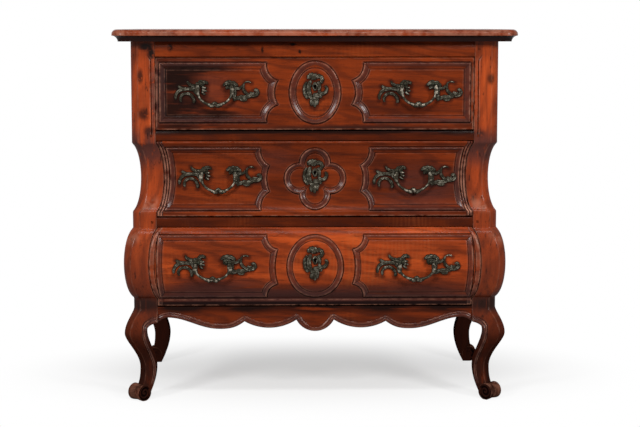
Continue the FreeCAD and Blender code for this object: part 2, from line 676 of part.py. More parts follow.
def quatrefoil(z, lobe, spread):
    lobes = [disc(spread * math.cos(turn), z + spread * math.sin(turn), lobe)
             for turn in (0, math.pi / 2, math.pi, 1.5 * math.pi)]
    half = 0.68 * spread
    square = closed([[(-half, z - half), (half, z - half)], [(half, z + half), (-half, z + half)]])
    middle = in_front_plane(square)
    return lobes[0].fuse(lobes[1:] + [middle])


def centre_motif(drawer, inset):
    """Oval on the top and bottom drawers, quatrefoil on the middle one."""
    if drawer.name == "drawer_2":
        return quatrefoil(drawer.middle, 38.0 - inset, 38.0)
    half_width, half_height = (63.0, 76.5) if drawer.name == "drawer_1" else (69.5, 78.3)
    return oval(drawer.middle, half_width - inset, half_height - inset)


def swept_back(face):
    return face.extrude(Vector(0, 2 * FAR, 0))


def ridge_mouldings(drawer):
    """Carved ridges of one front: a band round each panel and round the middle motif."""
    outline = wire(panel_outline(drawer), lambda x, z: Vector(x, -FAR, z))
    panel = Part.Face(outline).cut(Part.Face(outline.makeOffset2D(-RIDGE_WIDTH, 2)))
    motif = centre_motif(drawer, 0).cut(centre_motif(drawer, RIDGE_WIDTH))
    slab = front_block(drawer.back - 2, RIDGE_HEIGHT)
    rings = [swept_back(panel), mirror(swept_back(panel)), swept_back(motif)]
    return [ring.common(slab) for ring in rings]


def sliding_tail(drawer):
    """Dovetail tongue on the front end of a drawer side, standing in the back of the front."""
    middle = BOX_HALF - DRAWER_SIDE_THICKNESS / 2
    neck, wide = SLIDING_TAIL_NECK / 2, SLIDING_TAIL_WIDTH / 2
    z0, z1 = drawer.front_bottom, drawer.side_top - 10
    deep = drawer.back - SLIDING_TAIL_DEPTH
    corners = [(middle - neck, drawer.back), (middle + neck, drawer.back), (middle + wide, deep),
               (middle - wide, deep)]
    loop = Part.makePolygon([Vector(x, y, z0) for x, y in corners + corners[:1]])
    return Part.Face(loop).extrude(Vector(0, 0, z1 - z0))


def keyhole(x, z, y0, y1):
    """Round eye over a straight slot, right through from y0 to y1."""
    half = KEYHOLE_WIDTH / 2
    eye_radius = half + 1.3
    eye_z = z + KEYHOLE_HEIGHT / 2 - eye_radius
    eye = rod(eye_radius, Vector(x, y0, eye_z), Vector(x, y1, eye_z))
    return fused([eye, box(x - half, x + half, y0, y1, z - KEYHOLE_HEIGHT / 2, eye_z)])


def lock_case(drawer):
    """Half-mortise till lock let into the back and the top edge of the front."""
    z0 = drawer.keyhole_z - LOCK_BELOW_KEYHOLE
    case_front = drawer.back - LOCK_SET_IN
    case = box(-LOCK_WIDTH / 2, LOCK_WIDTH / 2, case_front, case_front + LOCK_THICKNESS, z0, drawer.front_top)
    selvedge = box(-LOCK_WIDTH / 2, LOCK_WIDTH / 2, case_front + LOCK_THICKNESS - SELVEDGE_DEPTH,
                   case_front + LOCK_THICKNESS, drawer.front_top - SELVEDGE_THICKNESS, drawer.front_top)
    bolt_way = lock_bolt(drawer, LOCK_BOLT_CLEARANCE)
    key_way = keyhole(0, drawer.keyhole_z, case_front, case_front + LOCK_WALL)
    key_room = box(-KEY_ROOM, KEY_ROOM, case_front + LOCK_WALL, case_front + LOCK_THICKNESS - LOCK_WALL,
                   drawer.keyhole_z - 1.3 * KEY_ROOM, drawer.keyhole_z + 1.3 * KEY_ROOM)
    return fused([case, selvedge]).cut(Part.Compound([bolt_way, key_way, key_room]))


def lock_bolt(drawer, clearance=0.0):
    """Flat bolt that rises out of the top of the lock; with a clearance, the way it runs in."""
    y = drawer.back - LOCK_SET_IN + LOCK_THICKNESS / 2
    half_width, half_depth = LOCK_BOLT_WIDTH / 2 + clearance, LOCK_BOLT_THICKNESS / 2 + clearance
    return box(-half_width, half_width, y - half_depth, y + half_depth,
               drawer.front_top - LOCK_BOLT_HEIGHT - clearance, drawer.front_top)


def lock_strike(drawer):
    """Slot in the rail above that the raised bolt enters."""
    y = drawer.back - LOCK_SET_IN + LOCK_THICKNESS / 2
    half_width, half_depth = LOCK_BOLT_WIDTH / 2 + STRIKE_ROOM, LOCK_BOLT_THICKNESS / 2 + STRIKE_ROOM
    return box(-half_width, half_width, y - half_depth, y + half_depth, drawer.top - 1,
               drawer.front_top + LOCK_BOLT_TRAVEL + 1)


def pull_posts(drawer):
    """Centre x of each eye bolt of the two handles."""
    return [x + side * EYE_SPREAD for x in drawer.pull_x for side in (-1, 1)]


def pull_bolt(drawer, x):
    """Square-shanked eye bolt through rose and drawer front, held by a square nut inside."""
    y, z = drawer.pivot_y, drawer.pivot_z
    eye = octagon_bar(EYE_ACROSS, Vector(x - EYE_WIDTH / 2, y, z), Vector(x + EYE_WIDTH / 2, y, z))
    shank = square_shank(x, z, y + 3.2, drawer.back + NUT_THICKNESS + 3, SHANK_WIDTH / 2)
    nut = square_shank(x, z, drawer.back, drawer.back + NUT_THICKNESS, NUT_WIDTH / 2)
    bore = rod(EYE_BORE, Vector(x - EYE_WIDTH, y, z), Vector(x + EYE_WIDTH, y, z))
    return fused([eye, shank, nut]).cut(bore)


def square_shank(x, z, y0, y1, half):
    return box(x - half, x + half, y0, y1, z - half, z + half)


def crescent(start, end, outer, inner):
    """Leaf or scroll between two points: filed flats that bow `outer` and `inner` to the left."""
    (x0, z0), (x1, z1) = start, end
    length = math.dist(start, end)
    left = (-(z1 - z0) / length, (x1 - x0) / length)

    def side(bow):
        points = []
        for i in range(LEAF_FLATS + 1):
            share = i / LEAF_FLATS
            out = 4 * bow * share * (1 - share)
            points.append((x0 + (x1 - x0) * share + left[0] * out, z0 + (z1 - z0) * share + left[1] * out))
        return points

    outline = side(outer) + side(inner)[-2:0:-1]
    return [[a, b] for a, b in zip(outline, outline[1:] + outline[:1])]


LEFT_ROSE = [
    crescent((-101, -40), (-38, -4), 24, 6),
    crescent((-86, 3), (-28, -4), 6, -12),
]
RIGHT_ROSE = [
    crescent((28, -4), (82, -35), 14, -8),
    crescent((40, 0), (104, -14), -10, -23),
]
ROSE_BOSS = 9.5
PLATE_BOSS = (1, 4, 13)
PLATE_LEAVES = [
    crescent((-3, 40), (-3, -38), -7, -21),
    crescent((-5, 8), (10, 46), 5, -9),
    crescent((-2, -5), (27, 8), -4, -16),
]


def cast_plate(drawer, leaves, bosses, origin, thickness):
    """Cast mount: leaves and bosses in one plate that follows the front it lies on."""
    x0, z0 = origin
    faces = [in_front_plane([[(x + x0, z + z0) for x, z in piece] for piece in leaf]) for leaf in leaves]
    faces += [disc(x0 + x, z0 + z, radius) for x, z, radius in bosses]
    outline = fused([swept_back(face) for face in faces])
    shell = front_block(drawer.back, thickness).cut(front_block(drawer.back))
    return outline.common(shell)


def roses(drawer):
    """Left and right roses of both handles, bored for the eye bolts."""
    plates = []
    for x in drawer.pull_x:
        for side, leaves in ((-1, LEFT_ROSE), (1, RIGHT_ROSE)):
            boss = (side * EYE_SPREAD, 0, ROSE_BOSS)
            plates.append(cast_plate(drawer, leaves, [boss], (x, drawer.pivot_z), ROSE_THICKNESS))
    return plates


def shank_bores(drawer):
    return [square_shank(x, drawer.pivot_z, -FAR, FAR, SHANK_WIDTH / 2 + SHANK_CLEARANCE)
            for x in pull_posts(drawer)]


def bail(drawer, x):
    """Swinging handle: eight-sided bow on two arms with inward pins, and a knop in the middle."""
    y, z = drawer.pivot_y, drawer.pivot_z
    half, centre_z = BAIL_HALF_WIDTH, z - BAIL_DROP + BAIL_HALF_WIDTH
    turns = [math.pi * i / BAIL_FACETS for i in range(BAIL_FACETS + 1)]
    bow = [Vector(x - half * math.cos(t), y, centre_z - half * math.sin(t)) for t in turns]
    path = [Vector(x - half, y, z)] + bow + [Vector(x + half, y, z)]
    ring = eight_sided(BAIL_WIDTH, path[0], Vector(0, 0, 1))
    pieces = [Part.makePolygon(path).makePipeShell([ring], True, False, 1)]
    for side in (-1, 1):
        arm = x + side * BAIL_HALF_WIDTH
        barrel = (Vector(arm - BARREL_HALF, y, z), Vector(arm + BARREL_HALF, y, z))
        pieces.append(octagon_bar(BARREL_ACROSS, barrel[0], barrel[1]))
        pieces.append(rod(HINGE_PIN_RADIUS, Vector(arm, y, z), Vector(x + side * PIN_END, y, z)))
    low = z - BAIL_DROP
    for half, across in ((BAIL_KNOP_HALF, BAIL_COLLAR_WIDTH), (BAIL_KNOP_HALF / 2, BAIL_KNOP_WIDTH)):
        pieces.append(octagon_bar(across, Vector(x - half, y, low), Vector(x + half, y, low)))
    return fused(pieces)


def drawer_front(drawer):
    """Shaped front with rounded edges and ridge mouldings."""
    body = front_block(drawer.back).common(between_stiles(FRONT_GAP_END))
    body = body.common(box(-FAR, FAR, -FAR, drawer.back, drawer.front_bottom, drawer.front_top))
    corners = [e for e in body.Edges if max(v.Y for v in e.Vertexes) < drawer.back - 5 and is_rim(e, drawer)]
    body = body.makeFillet(drawer.edge_round, corners)
    return body.fuse(ridge_mouldings(drawer)).removeSplitter()


def is_rim(e, drawer):
    """True for an edge of the front face that lies along the top or the bottom of the front."""
    levels = [vertex.Z for vertex in e.Vertexes]
    flat = max(levels) - min(levels) < 0.01
    return flat and min(abs(levels[0] - drawer.front_bottom), abs(levels[0] - drawer.front_top)) < 0.01


def drawer_parts(drawer):
    """Every piece of one drawer by node name."""
    bottom_z = drawer.side_bottom + DRAWER_BOTTOM_RAISE
    bottom = box(-BOX_INNER - DRAWER_GROOVE, BOX_INNER + DRAWER_GROOVE, drawer.back - DRAWER_GROOVE,
                 DRAWER_END, bottom_z, bottom_z + DRAWER_BOTTOM_THICKNESS)
    back_front = DRAWER_END - DRAWER_SIDE_THICKNESS
    back_bottom, back_top = bottom_z + DRAWER_BOTTOM_THICKNESS, drawer.side_top - 6
    back = box(-BOX_HALF, BOX_HALF, back_front, DRAWER_END, back_bottom, back_top)
    pitch = (back_top - back_bottom) / TAIL_COUNT
    tails = []
    for i in range(TAIL_COUNT):
        low, high = back_bottom + (i + 0.2) * pitch, back_bottom + (i + 0.8) * pitch
        tail = closed([[(back_front, low + TAIL_SPLAY), (DRAWER_END, low)],
                       [(DRAWER_END, high), (back_front, high - TAIL_SPLAY)]])
        tails.append(pair(prism_along_x(tail, BOX_INNER, BOX_HALF)))
    back = back.cut(Part.Compound(tails))
    side = box(BOX_INNER, BOX_HALF, drawer.back, DRAWER_END, drawer.side_bottom, drawer.side_top)
    side = fused([side, sliding_tail(drawer)]).cut(bottom).cut(back)

    bores = shank_bores(drawer)
    case = lock_case(drawer)
    key_way = keyhole(0, drawer.keyhole_z, -FAR, drawer.back - LOCK_SET_IN)
    lock_seat = box(-LOCK_WIDTH / 2, LOCK_WIDTH / 2, drawer.back - LOCK_SET_IN, drawer.back,
                    drawer.keyhole_z - LOCK_BELOW_KEYHOLE, drawer.front_top)
    front = drawer_front(drawer).cut(Part.Compound([side, mirror(side)])).cut(bottom)
    front = front.cut(fused([lock_seat, case])).cut(Part.Compound(bores + [key_way]))
    plate = cast_plate(drawer, PLATE_LEAVES, [PLATE_BOSS], (0, drawer.plate_z), ESCUTCHEON_THICKNESS)
    return {
        "front": front,
        "side_left": mirror(side),
        "side_right": side,
        "back": back,
        "bottom": bottom,
        "roses": [plate_.cut(Part.Compound(bores)) for plate_ in roses(drawer)],
        "pull_bolts": [pull_bolt(drawer, x) for x in pull_posts(drawer)],
        "escutcheon": plate.cut(key_way),
        "lock_case": case,
        "lock_bolt": lock_bolt(drawer),
        "bail_left": bail(drawer, drawer.pull_x[0]),
        "bail_right": bail(drawer, drawer.pull_x[1]),
    }


# ------------------------------------------------------------------ assembly
def carcase():
    """Every fixed piece by node name, housings cut by the pieces that sit in them."""
    frieze = front_rail(TOP_1, CARCASE_TOP)
    upper = front_rail(TOP_2, BOTTOM_1)
    lower = front_rail(TOP_3, BOTTOM_2)
    apron = front_apron()
    bearers = [runner(BOTTOM_1, RAIL_BACK), runner(BOTTOM_2, RAIL_BACK), runner(BOTTOM_3, APRON_BACK_FACE)]
    runners = bearers + [kicker()]
    boards = {
        "upper_dustboard": dustboard(BOTTOM_1, RAIL_BACK, RUNNER_END),
        "lower_dustboard": dustboard(BOTTOM_2, RAIL_BACK, RUNNER_END),
        "bottom_board": dustboard(BOTTOM_3, APRON_BACK_FACE, REAR_RAIL_FRONT + DUSTBOARD_TONGUE),
    }
    rear_top = rear_rail(CARCASE_TOP - FRIEZE_HEIGHT, CARCASE_TOP)
    rear_low = rear_rail(LEG_HEIGHT - REAR_RAIL_DROP, LEG_HEIGHT - REAR_RAIL_DROP + REAR_BOTTOM_RAIL_HEIGHT)
    top_rail, low_rail, panel = side_top_rail(), side_apron(), side_panel()
    planks = back_boards()

    stiles = between_stiles()
    pockets = [stiles.common(box(-FAR, FAR, -FAR, d.back + STOP_GAP, d.bottom, d.top)) for d in DRAWERS]
    front_blank = front_post()
    rear_blank = rear_post()
    side_pieces = [top_rail, low_rail, panel] + bearers
    front = front_blank.cut(Part.Compound(pockets))
    for piece in (frieze, upper, lower, apron):
        front = front.cut(piece)
    for piece in side_pieces:
        front = front.cut(piece)
    rear = rear_blank
    for piece in side_pieces + [rear_top, rear_low] + planks:
        rear = rear.cut(piece)

    pegs = []
    tenon_x = SEAM + TENON_LENGTH / 2
    rail_levels = [(TOP_1 + CARCASE_TOP) / 2, (TOP_2 + BOTTOM_1) / 2, (TOP_3 + BOTTOM_2) / 2]
    for level in rail_levels + [LEG_HEIGHT - FRONT_PEG_DROP]:
        pegs.append(peg(tenon_x, FRONT - KNEE_OUT, level, Vector(0, 1, 0), front_blank))
    front_tenon_y = FRONT_POST_BACK - TENON_LENGTH / 2
    rear_tenon_y = REAR_POST_FRONT + TENON_LENGTH / 2
    for y, blank in ((front_tenon_y, front_blank), (rear_tenon_y, rear_blank)):
        for level in ((TOP_1 + CARCASE_TOP) / 2 + PANEL_TONGUE / 2, LEG_HEIGHT - SIDE_PEG_DROP):
            pegs.append(peg(HALF + KNEE_OUT, y, level, Vector(-1, 0, 0), blank))
    peg_holes = Part.Compound(pegs)
    front, rear = front.cut(peg_holes), rear.cut(peg_holes)
    both_holes = Part.Compound(pegs + [mirror(p) for p in pegs])

    strikes = [lock_strike(drawer) for drawer in DRAWERS]
    right_runners = [piece.cut(Part.Compound(list(boards.values()))) for piece in runners]
    both_runners = Part.Compound(runners + [mirror(r) for r in runners])
    grooves = Part.Compound(list(boards.values()))
    right_panel_groove = Part.Compound([panel, mirror(panel)])
    parts = {
        "top_board": top_board(),
        "front_left_post": mirror(front),
        "front_right_post": front,
        "rear_left_post": mirror(rear),
        "rear_right_post": rear,
        "frieze_rail": frieze.cut(both_runners).cut(strikes[0]).cut(both_holes),
        "upper_rail": upper.cut(both_runners).cut(grooves).cut(strikes[1]).cut(both_holes),
        "lower_rail": lower.cut(both_runners).cut(grooves).cut(strikes[2]).cut(both_holes),
        "front_apron": apron.cut(both_runners).cut(grooves).cut(both_holes),
        "left_side_top_rail": mirror(top_rail.cut(panel).cut(peg_holes)),
        "right_side_top_rail": top_rail.cut(panel).cut(peg_holes),
        "left_side_panel": mirror(panel),
        "right_side_panel": panel,
        "left_side_apron": mirror(low_rail.cut(right_panel_groove).cut(peg_holes)),
        "right_side_apron": low_rail.cut(right_panel_groove).cut(peg_holes),
        "rear_top_rail": rear_top.cut(both_runners),
        "rear_bottom_rail": rear_low.cut(grooves),
        "back_boards": planks,
        "left_runners": [mirror(piece) for piece in right_runners],
        "right_runners": right_runners,
        "joint_pegs": pegs + [mirror(p) for p in pegs],
    }
    parts.update(boards)
    return parts


def write(name, shape):
    """Write one node: a single solid, or a group of separate solids."""
    shapes = shape if isinstance(shape, list) else [shape]
    solids = [solid for piece in shapes for solid in piece.removeSplitter().Solids]
    for solid in solids:
        if not solid.isValid() or solid.Volume <= 0:
            raise ValueError(f"{name} is not a sound solid")
    if len(solids) != len(shapes):
        raise ValueError(f"{name} fell into {len(solids)} solids instead of {len(shapes)}")
    whole = solids[0] if len(solids) == 1 else Part.Compound(solids)
    whole.exportStep(os.path.join("parts", name + ".step"))


def main():
    os.makedirs("parts", exist_ok=True)
    for name, shape in carcase().items():
        write(name, shape)
    for drawer in DRAWERS:
        for piece, shape in drawer_parts(drawer).items():
            write(f"{drawer.name}_{piece}", shape)
    print("height", round(TOTAL_HEIGHT, 2), "drawer pivots",
          [(round(d.pivot_y, 2), round(d.pivot_z, 2)) for d in DRAWERS])


main()
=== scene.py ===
"""Bombe chest of drawers: carved walnut case on cabriole posts, cast bronze handles and keyhole plates.

Shapes are in millimetres, and place() turns a finished piece into metres. Finishes are in metres.
"""
import math
from functools import cached_property
from types import SimpleNamespace as Drawer

import bmesh
import bpy
import numpy as np
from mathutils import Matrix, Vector


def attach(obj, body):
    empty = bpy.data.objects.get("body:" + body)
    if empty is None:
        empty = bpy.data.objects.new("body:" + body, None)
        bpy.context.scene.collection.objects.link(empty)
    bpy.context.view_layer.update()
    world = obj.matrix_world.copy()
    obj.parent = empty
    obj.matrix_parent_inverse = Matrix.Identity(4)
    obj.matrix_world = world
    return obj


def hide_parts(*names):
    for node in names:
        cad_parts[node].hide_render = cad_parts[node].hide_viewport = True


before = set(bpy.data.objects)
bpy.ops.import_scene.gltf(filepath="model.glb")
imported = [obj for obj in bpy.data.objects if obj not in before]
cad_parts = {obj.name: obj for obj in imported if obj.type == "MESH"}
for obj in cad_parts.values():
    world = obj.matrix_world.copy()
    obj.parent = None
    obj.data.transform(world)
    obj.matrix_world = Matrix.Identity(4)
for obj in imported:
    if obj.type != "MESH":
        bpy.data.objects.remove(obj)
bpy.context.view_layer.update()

# ---------- sizes of the case
HALF, FRONT, BACK = 450.0, -236.0, 269.0
SEAM, SEAM_FOLLOW = 390.0, 0.9
POST_INNER, FRONT_POST_BACK, REAR_POST_FRONT = 370.0, -174.0, 219.0
RAIL_BACK, LAP_BACK = -166.0, -206.0
LEG_TOP, APRON_TOP, CARCASE_TOP, TOP = 200.0, 237.0, 891.0, 920.0
RAIL_LEVELS = {"lower_rail": (436.5, 459.5), "upper_rail": (649.5, 672.5), "frieze_rail": (854.0, 891.0)}
TOP_HALF, TOP_FRONT, TOP_REAR, TOP_CORNER = 492.5, -284.0, 284.0, 32.0
BODY_CANT, LEG_CANT, CANT_BULGE = 19.8, 17.0, 0.29
PANEL_SET_BACK, PANEL_THICK = 8.0, 16.0
SIDE_APRON_TOP, SIDE_APRON_THICK, SIDE_APRON_ARCH = 263.8, 38.0, 14.0
EYE_FROM_PULL = 34.0
LEAF_BREADTH = 1.5
BODY_LINE = [
    [(0, 891), (0, 642.5)],
    [(0, 642.5), (-25.73, 617.2), (-25.73, 499.1), (0, 473.8)],
    [(0, 473.8), (0, 432.7)],
    [(0, 432.7), (29.2, 406.5), (29.2, 284.0), (0, 257.8)],
    [(0, 257.8), (0, 234)],
]
LEG_OUTER = [
    [(0, 234), (0, 222), (21.9, 199), (21.9, 172)],
    [(21.9, 172), (21.9, 151), (-12.6, 116), (-12.6, 80)],
    [(-12.6, 80), (-12.6, 60), (-10.5, 49), (-7.5, 40)],
    [(-7.5, 40), (-7.5, 0)],
]
LEG_INNER = [
    [(-60, 200), (-39, 196), (-31, 185), (-31, 172)],
    [(-31, 172), (-31, 146), (-53.2, 108), (-53.2, 80)],
    [(-53.2, 80), (-53.2, 50), (-41.2, 20), (-30.2, 0)],
]
APRON_HALF = [
    [(390, 200), (381.8, 203.5), (376, 210.5), (364.7, 210.5)],
    [(364.7, 210.5), (317.5, 210.5), (287, 181.9), (235.6, 181.9)],
    [(235.6, 181.9), (213.3, 181.9), (196.6, 183.9), (175.1, 200.7)],
]


def cubic(poles, count=40):
    """Points along a cubic, or the two ends of a straight piece."""
    p = np.array(poles, float)
    if len(p) == 2:
        return p
    t = np.linspace(0, 1, count)[:, None]
    return (1 - t) ** 3 * p[0] + 3 * t * (1 - t) ** 2 * p[1] + 3 * t * t * (1 - t) * p[2] + t ** 3 * p[3]


def arc(a, b, c, count=24):
    """Points along the arc from a through b to c."""
    a, b, c = (complex(*point) for point in (a, b, c))
    ratio = (c - a) / (b - a)
    centre = a + (b - a) * (ratio - abs(ratio) ** 2) / (2j * ratio.imag)
    start, middle, end = np.angle(np.array([a, b, c]) - centre)
    turn = (end - start) % (2 * math.pi)
    if (middle - start) % (2 * math.pi) > turn:
        turn -= 2 * math.pi
    ring = centre + abs(a - centre) * np.exp(1j * (start + turn * np.linspace(0, 1, count)))
    return np.column_stack([ring.real, ring.imag])


def along(pieces):
    return np.vstack([cubic(piece) for piece in pieces])


def flowing(points, count):
    """Points on a smooth curve through the given ones."""
    p = np.array(points, float)
    padded = np.vstack([2 * p[0] - p[1], p, 2 * p[-1] - p[-2]])
    t = np.linspace(0, 1, count, endpoint=False)[:, None]
    result = []
    for i in range(len(p) - 1):
        a, b, c, d = padded[i:i + 4]
        result.append(0.5 * (2 * b + (c - a) * t + (2 * a - 5 * b + 4 * c - d) * t ** 2
                             + (3 * b - a - 3 * c + d) * t ** 3))
    return np.vstack(result + [p[-1:]])


BODY_TABLE = along(BODY_LINE + LEG_OUTER)[::-1]
INNER_TABLE = along(LEG_INNER)[::-1]
APRON_EDGE = np.vstack([along(APRON_HALF), arc((175.1, 200.7), (117.8, 184.4), (46.4, 204.4)),
                        arc((46.4, 204.4), (0, 175.8), (-46.4, 204.4))[:12], [(0, 175.8)]])
BAND_LINE = np.vstack([APRON_EDGE[::-1], along(LEG_INNER) + (HALF, 0)])


def outward(z):
    """How far the bombe and cabriole line stands out at height z."""
    return np.interp(z, BODY_TABLE[:, 1], BODY_TABLE[:, 0])


def on_front(z):
    return FRONT - outward(z)


def leg_inner(z):
    """How far out from the block's plane the inner side of a leg is at height z."""
    return np.interp(z, INNER_TABLE[:, 1], INNER_TABLE[:, 0])


def smooth(low, high, value):
    """Soft step from 0 at low to 1 at high."""
    t = np.clip((value - low) / (high - low), 0, 1)
    return t * t * (3 - 2 * t)


def line_at(distance, place, width):
    """1 along a line at a distance from an outline, fading over width to both sides."""
    return np.exp(-((distance - place) / width) ** 2)


def distance_to(x, z, line):
    """Distance from each point to a line of straight pieces."""
    nearest = np.full(x.shape, 1e9)
    for (ax, az), (bx, bz) in zip(line, line[1:]):
        length = (bx - ax) ** 2 + (bz - az) ** 2
        if length > 1e-12:
            share = np.clip(((x - ax) * (bx - ax) + (z - az) * (bz - az)) / length, 0, 1)
            nearest = np.minimum(nearest, np.hypot(x - ax - share * (bx - ax), z - az - share * (bz - az)))
    return nearest


def depth_inside(x, z, outline):
    """Distance from each point to a closed outline, positive inside it."""
    closed = np.vstack([outline, outline[:1]])
    inside = np.zeros(x.shape, bool)
    for (ax, az), (bx, bz) in zip(closed, closed[1:]):
        if az != bz:
            inside ^= ((az > z) != (bz > z)) & (x < (bx - ax) * (z - az) / (bz - az) + ax)
    nearest = distance_to(x, z, closed)
    return np.where(inside, nearest, -nearest)


def bend_of(height, columns, rows):
    """Shares of a relief over uneven stations: wear with painted highlight on convex places, grime with painted
    shade in hollows.
    """
    slope_x = np.gradient(height, columns, axis=1)
    slope_z = np.gradient(height, rows, axis=0)
    bend = 2 * (np.gradient(slope_x, columns, axis=1) + np.gradient(slope_z, rows, axis=0))
    return np.clip(-bend, 0, 1), np.clip(bend, 0, 1)


# ---------- meshes
def sheet(x, y, z, **shares):
    """Sheet of quads through rows and columns of points, with shares of wear and painted highlight, of grime and
    painted shade, and of dark polish and painted shade.
    """
    points = np.stack(np.broadcast_arrays(x, y, z), axis=2)
    rows, columns = points.shape[:2]
    bm = bmesh.new()
    bmesh.ops.create_grid(bm, x_segments=columns - 1, y_segments=rows - 1, size=1)
    for vertex, point in zip(bm.verts, points.reshape(-1, 3)):
        vertex.co = point
    for name in ("crest", "recess", "polish"):
        layer = bm.verts.layers.float.new(name)
        for vertex, share in zip(bm.verts, np.broadcast_to(shares.get(name, 0.0), (rows, columns)).flat):
            vertex[layer] = share
    return bm


def course_sheet(parts, z, **shares):
    """Sheet with a row at each height of z, made of (x, y) parts that follow one another."""
    x, y = (np.hstack([np.broadcast_to(part[i], np.broadcast(*part).shape) for part in parts]) for i in (0, 1))
    return sheet(x, y, z, **shares)


def weld(bm, distance=0.01):
    bmesh.ops.remove_doubles(bm, verts=bm.verts, dist=distance)


def rim_of(bm):
    return [edge for edge in bm.edges if edge.is_boundary]


def cap(bm):
    """Close every open rim with one face."""
    bmesh.ops.holes_fill(bm, edges=rim_of(bm), sides=0)


def drawn_rim(bm):
    """Draw new faces from the open rim and give back their free vertices."""
    drawn = bmesh.ops.extrude_edge_only(bm, edges=rim_of(bm))["geom"]
    return [item for item in drawn if isinstance(item, bmesh.types.BMVert)]


def back_of(bm, y):
    """Draw the open rim back to the plane y and close it there."""
    for vertex in drawn_rim(bm):
        vertex.co.y = y
    cap(bm)


def join(bm, extra):
    mesh = bpy.data.meshes.new("part")
    extra.to_mesh(mesh)
    extra.free()
    bm.from_mesh(mesh)
    bpy.data.meshes.remove(mesh)


def join_closed(bm, extra):
    """Weld and close a sheet, and add it to bm."""
    weld(extra, 0.02)
    cap(extra)
    bmesh.ops.recalc_face_normals(extra, faces=extra.faces)
    join(bm, extra)


def as_object(name, bm):
    """Object of a finished mesh."""
    mesh = bpy.data.meshes.new(name)
    bm.to_mesh(mesh)
    bm.free()
    made = bpy.data.objects.new(name, mesh)
    bpy.context.scene.collection.objects.link(made)
    return made


def place(name, bm, body, slot, material, node, angle):
    """Make a finished mesh a piece of the chest, in place of a CAD node."""
    bmesh.ops.recalc_face_normals(bm, faces=bm.faces)
    bmesh.ops.scale(bm, vec=(0.001, 0.001, 0.001), verts=bm.verts)
    piece = as_object(name, bm)
    piece.data.shade_smooth()
    piece.data.set_sharp_from_angle(angle=math.radians(angle))
    piece.data.materials.append(material)
    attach(piece, body)
    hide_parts(node)


def block(bm, low, high, bevel=0.0):
    """Box between two corners with rounded edges, added to bm."""
    made = bmesh.ops.create_cube(bm, size=1)["verts"]
    low, high = Vector(low), Vector(high)
    bmesh.ops.scale(bm, vec=high - low, verts=made)
    bmesh.ops.translate(bm, vec=(low + high) / 2, verts=made)
    if bevel:
        edges = list({e for v in made for e in v.link_edges})
        bmesh.ops.bevel(bm, geom=edges, offset=bevel, affect="EDGES", segments=2, profile=0.5, material=-1)


def pocketed(bm, low, high):
    """The closed mesh with a box-shaped pocket cut into it."""
    cutter = bmesh.new()
    block(cutter, low, high)
    objects = []
    for name, source in (("timber", bm), ("chisel", cutter)):
        bmesh.ops.recalc_face_normals(source, faces=source.faces)
        objects.append(as_object(name, source))
    cut = objects[0].modifiers.new("pocket", "BOOLEAN")
    cut.operation, cut.solver, cut.object = "DIFFERENCE", "EXACT", objects[1]
    result = bmesh.new()
    result.from_object(objects[0], bpy.context.evaluated_depsgraph_get())
    for mesh in [obj.data for obj in objects]:
        bpy.data.meshes.remove(mesh)
    return result


def turned(bm, profile, centre, axis, steps, ring=False):
    """Turned form: (radius, height) points spun about an axis through centre."""
    axis = Vector(axis)
    side = axis.orthogonal().normalized()
    verts = [bm.verts.new(Vector(centre) + axis * height + side * radius) for radius, height in profile]
    edges = [bm.edges.new(pair) for pair in zip(verts, verts[1:])]
    if ring:
        edges.append(bm.edges.new((verts[-1], verts[0])))
    bmesh.ops.spin(bm, geom=verts + edges, cent=centre, axis=axis, angle=2 * math.pi, steps=steps, use_merge=True)


def mirrored(bm):
    bmesh.ops.scale(bm, vec=(-1, 1, 1), verts=bm.verts)
    bmesh.ops.reverse_faces(bm, faces=bm.faces)
    return bm


# ---------- finishes
class Value:
    """A number that varies over a surface. Maths on it adds Math nodes."""

    def __init__(self, finish, socket):
        self.finish, self.socket = finish, socket

    def math(self, operation, first, second):
        return self.finish.value("Math", {"operation": operation}, {0: first, 1: second})

    def __add__(self, other):
        return self.math("ADD", self, other)

    def __mul__(self, other):
        return self.math("MULTIPLY", self, other)

    def __rsub__(self, other):
        return self.math("SUBTRACT", other, self)

    def atleast(self, other):
        return self.math("MAXIMUM", self, other)


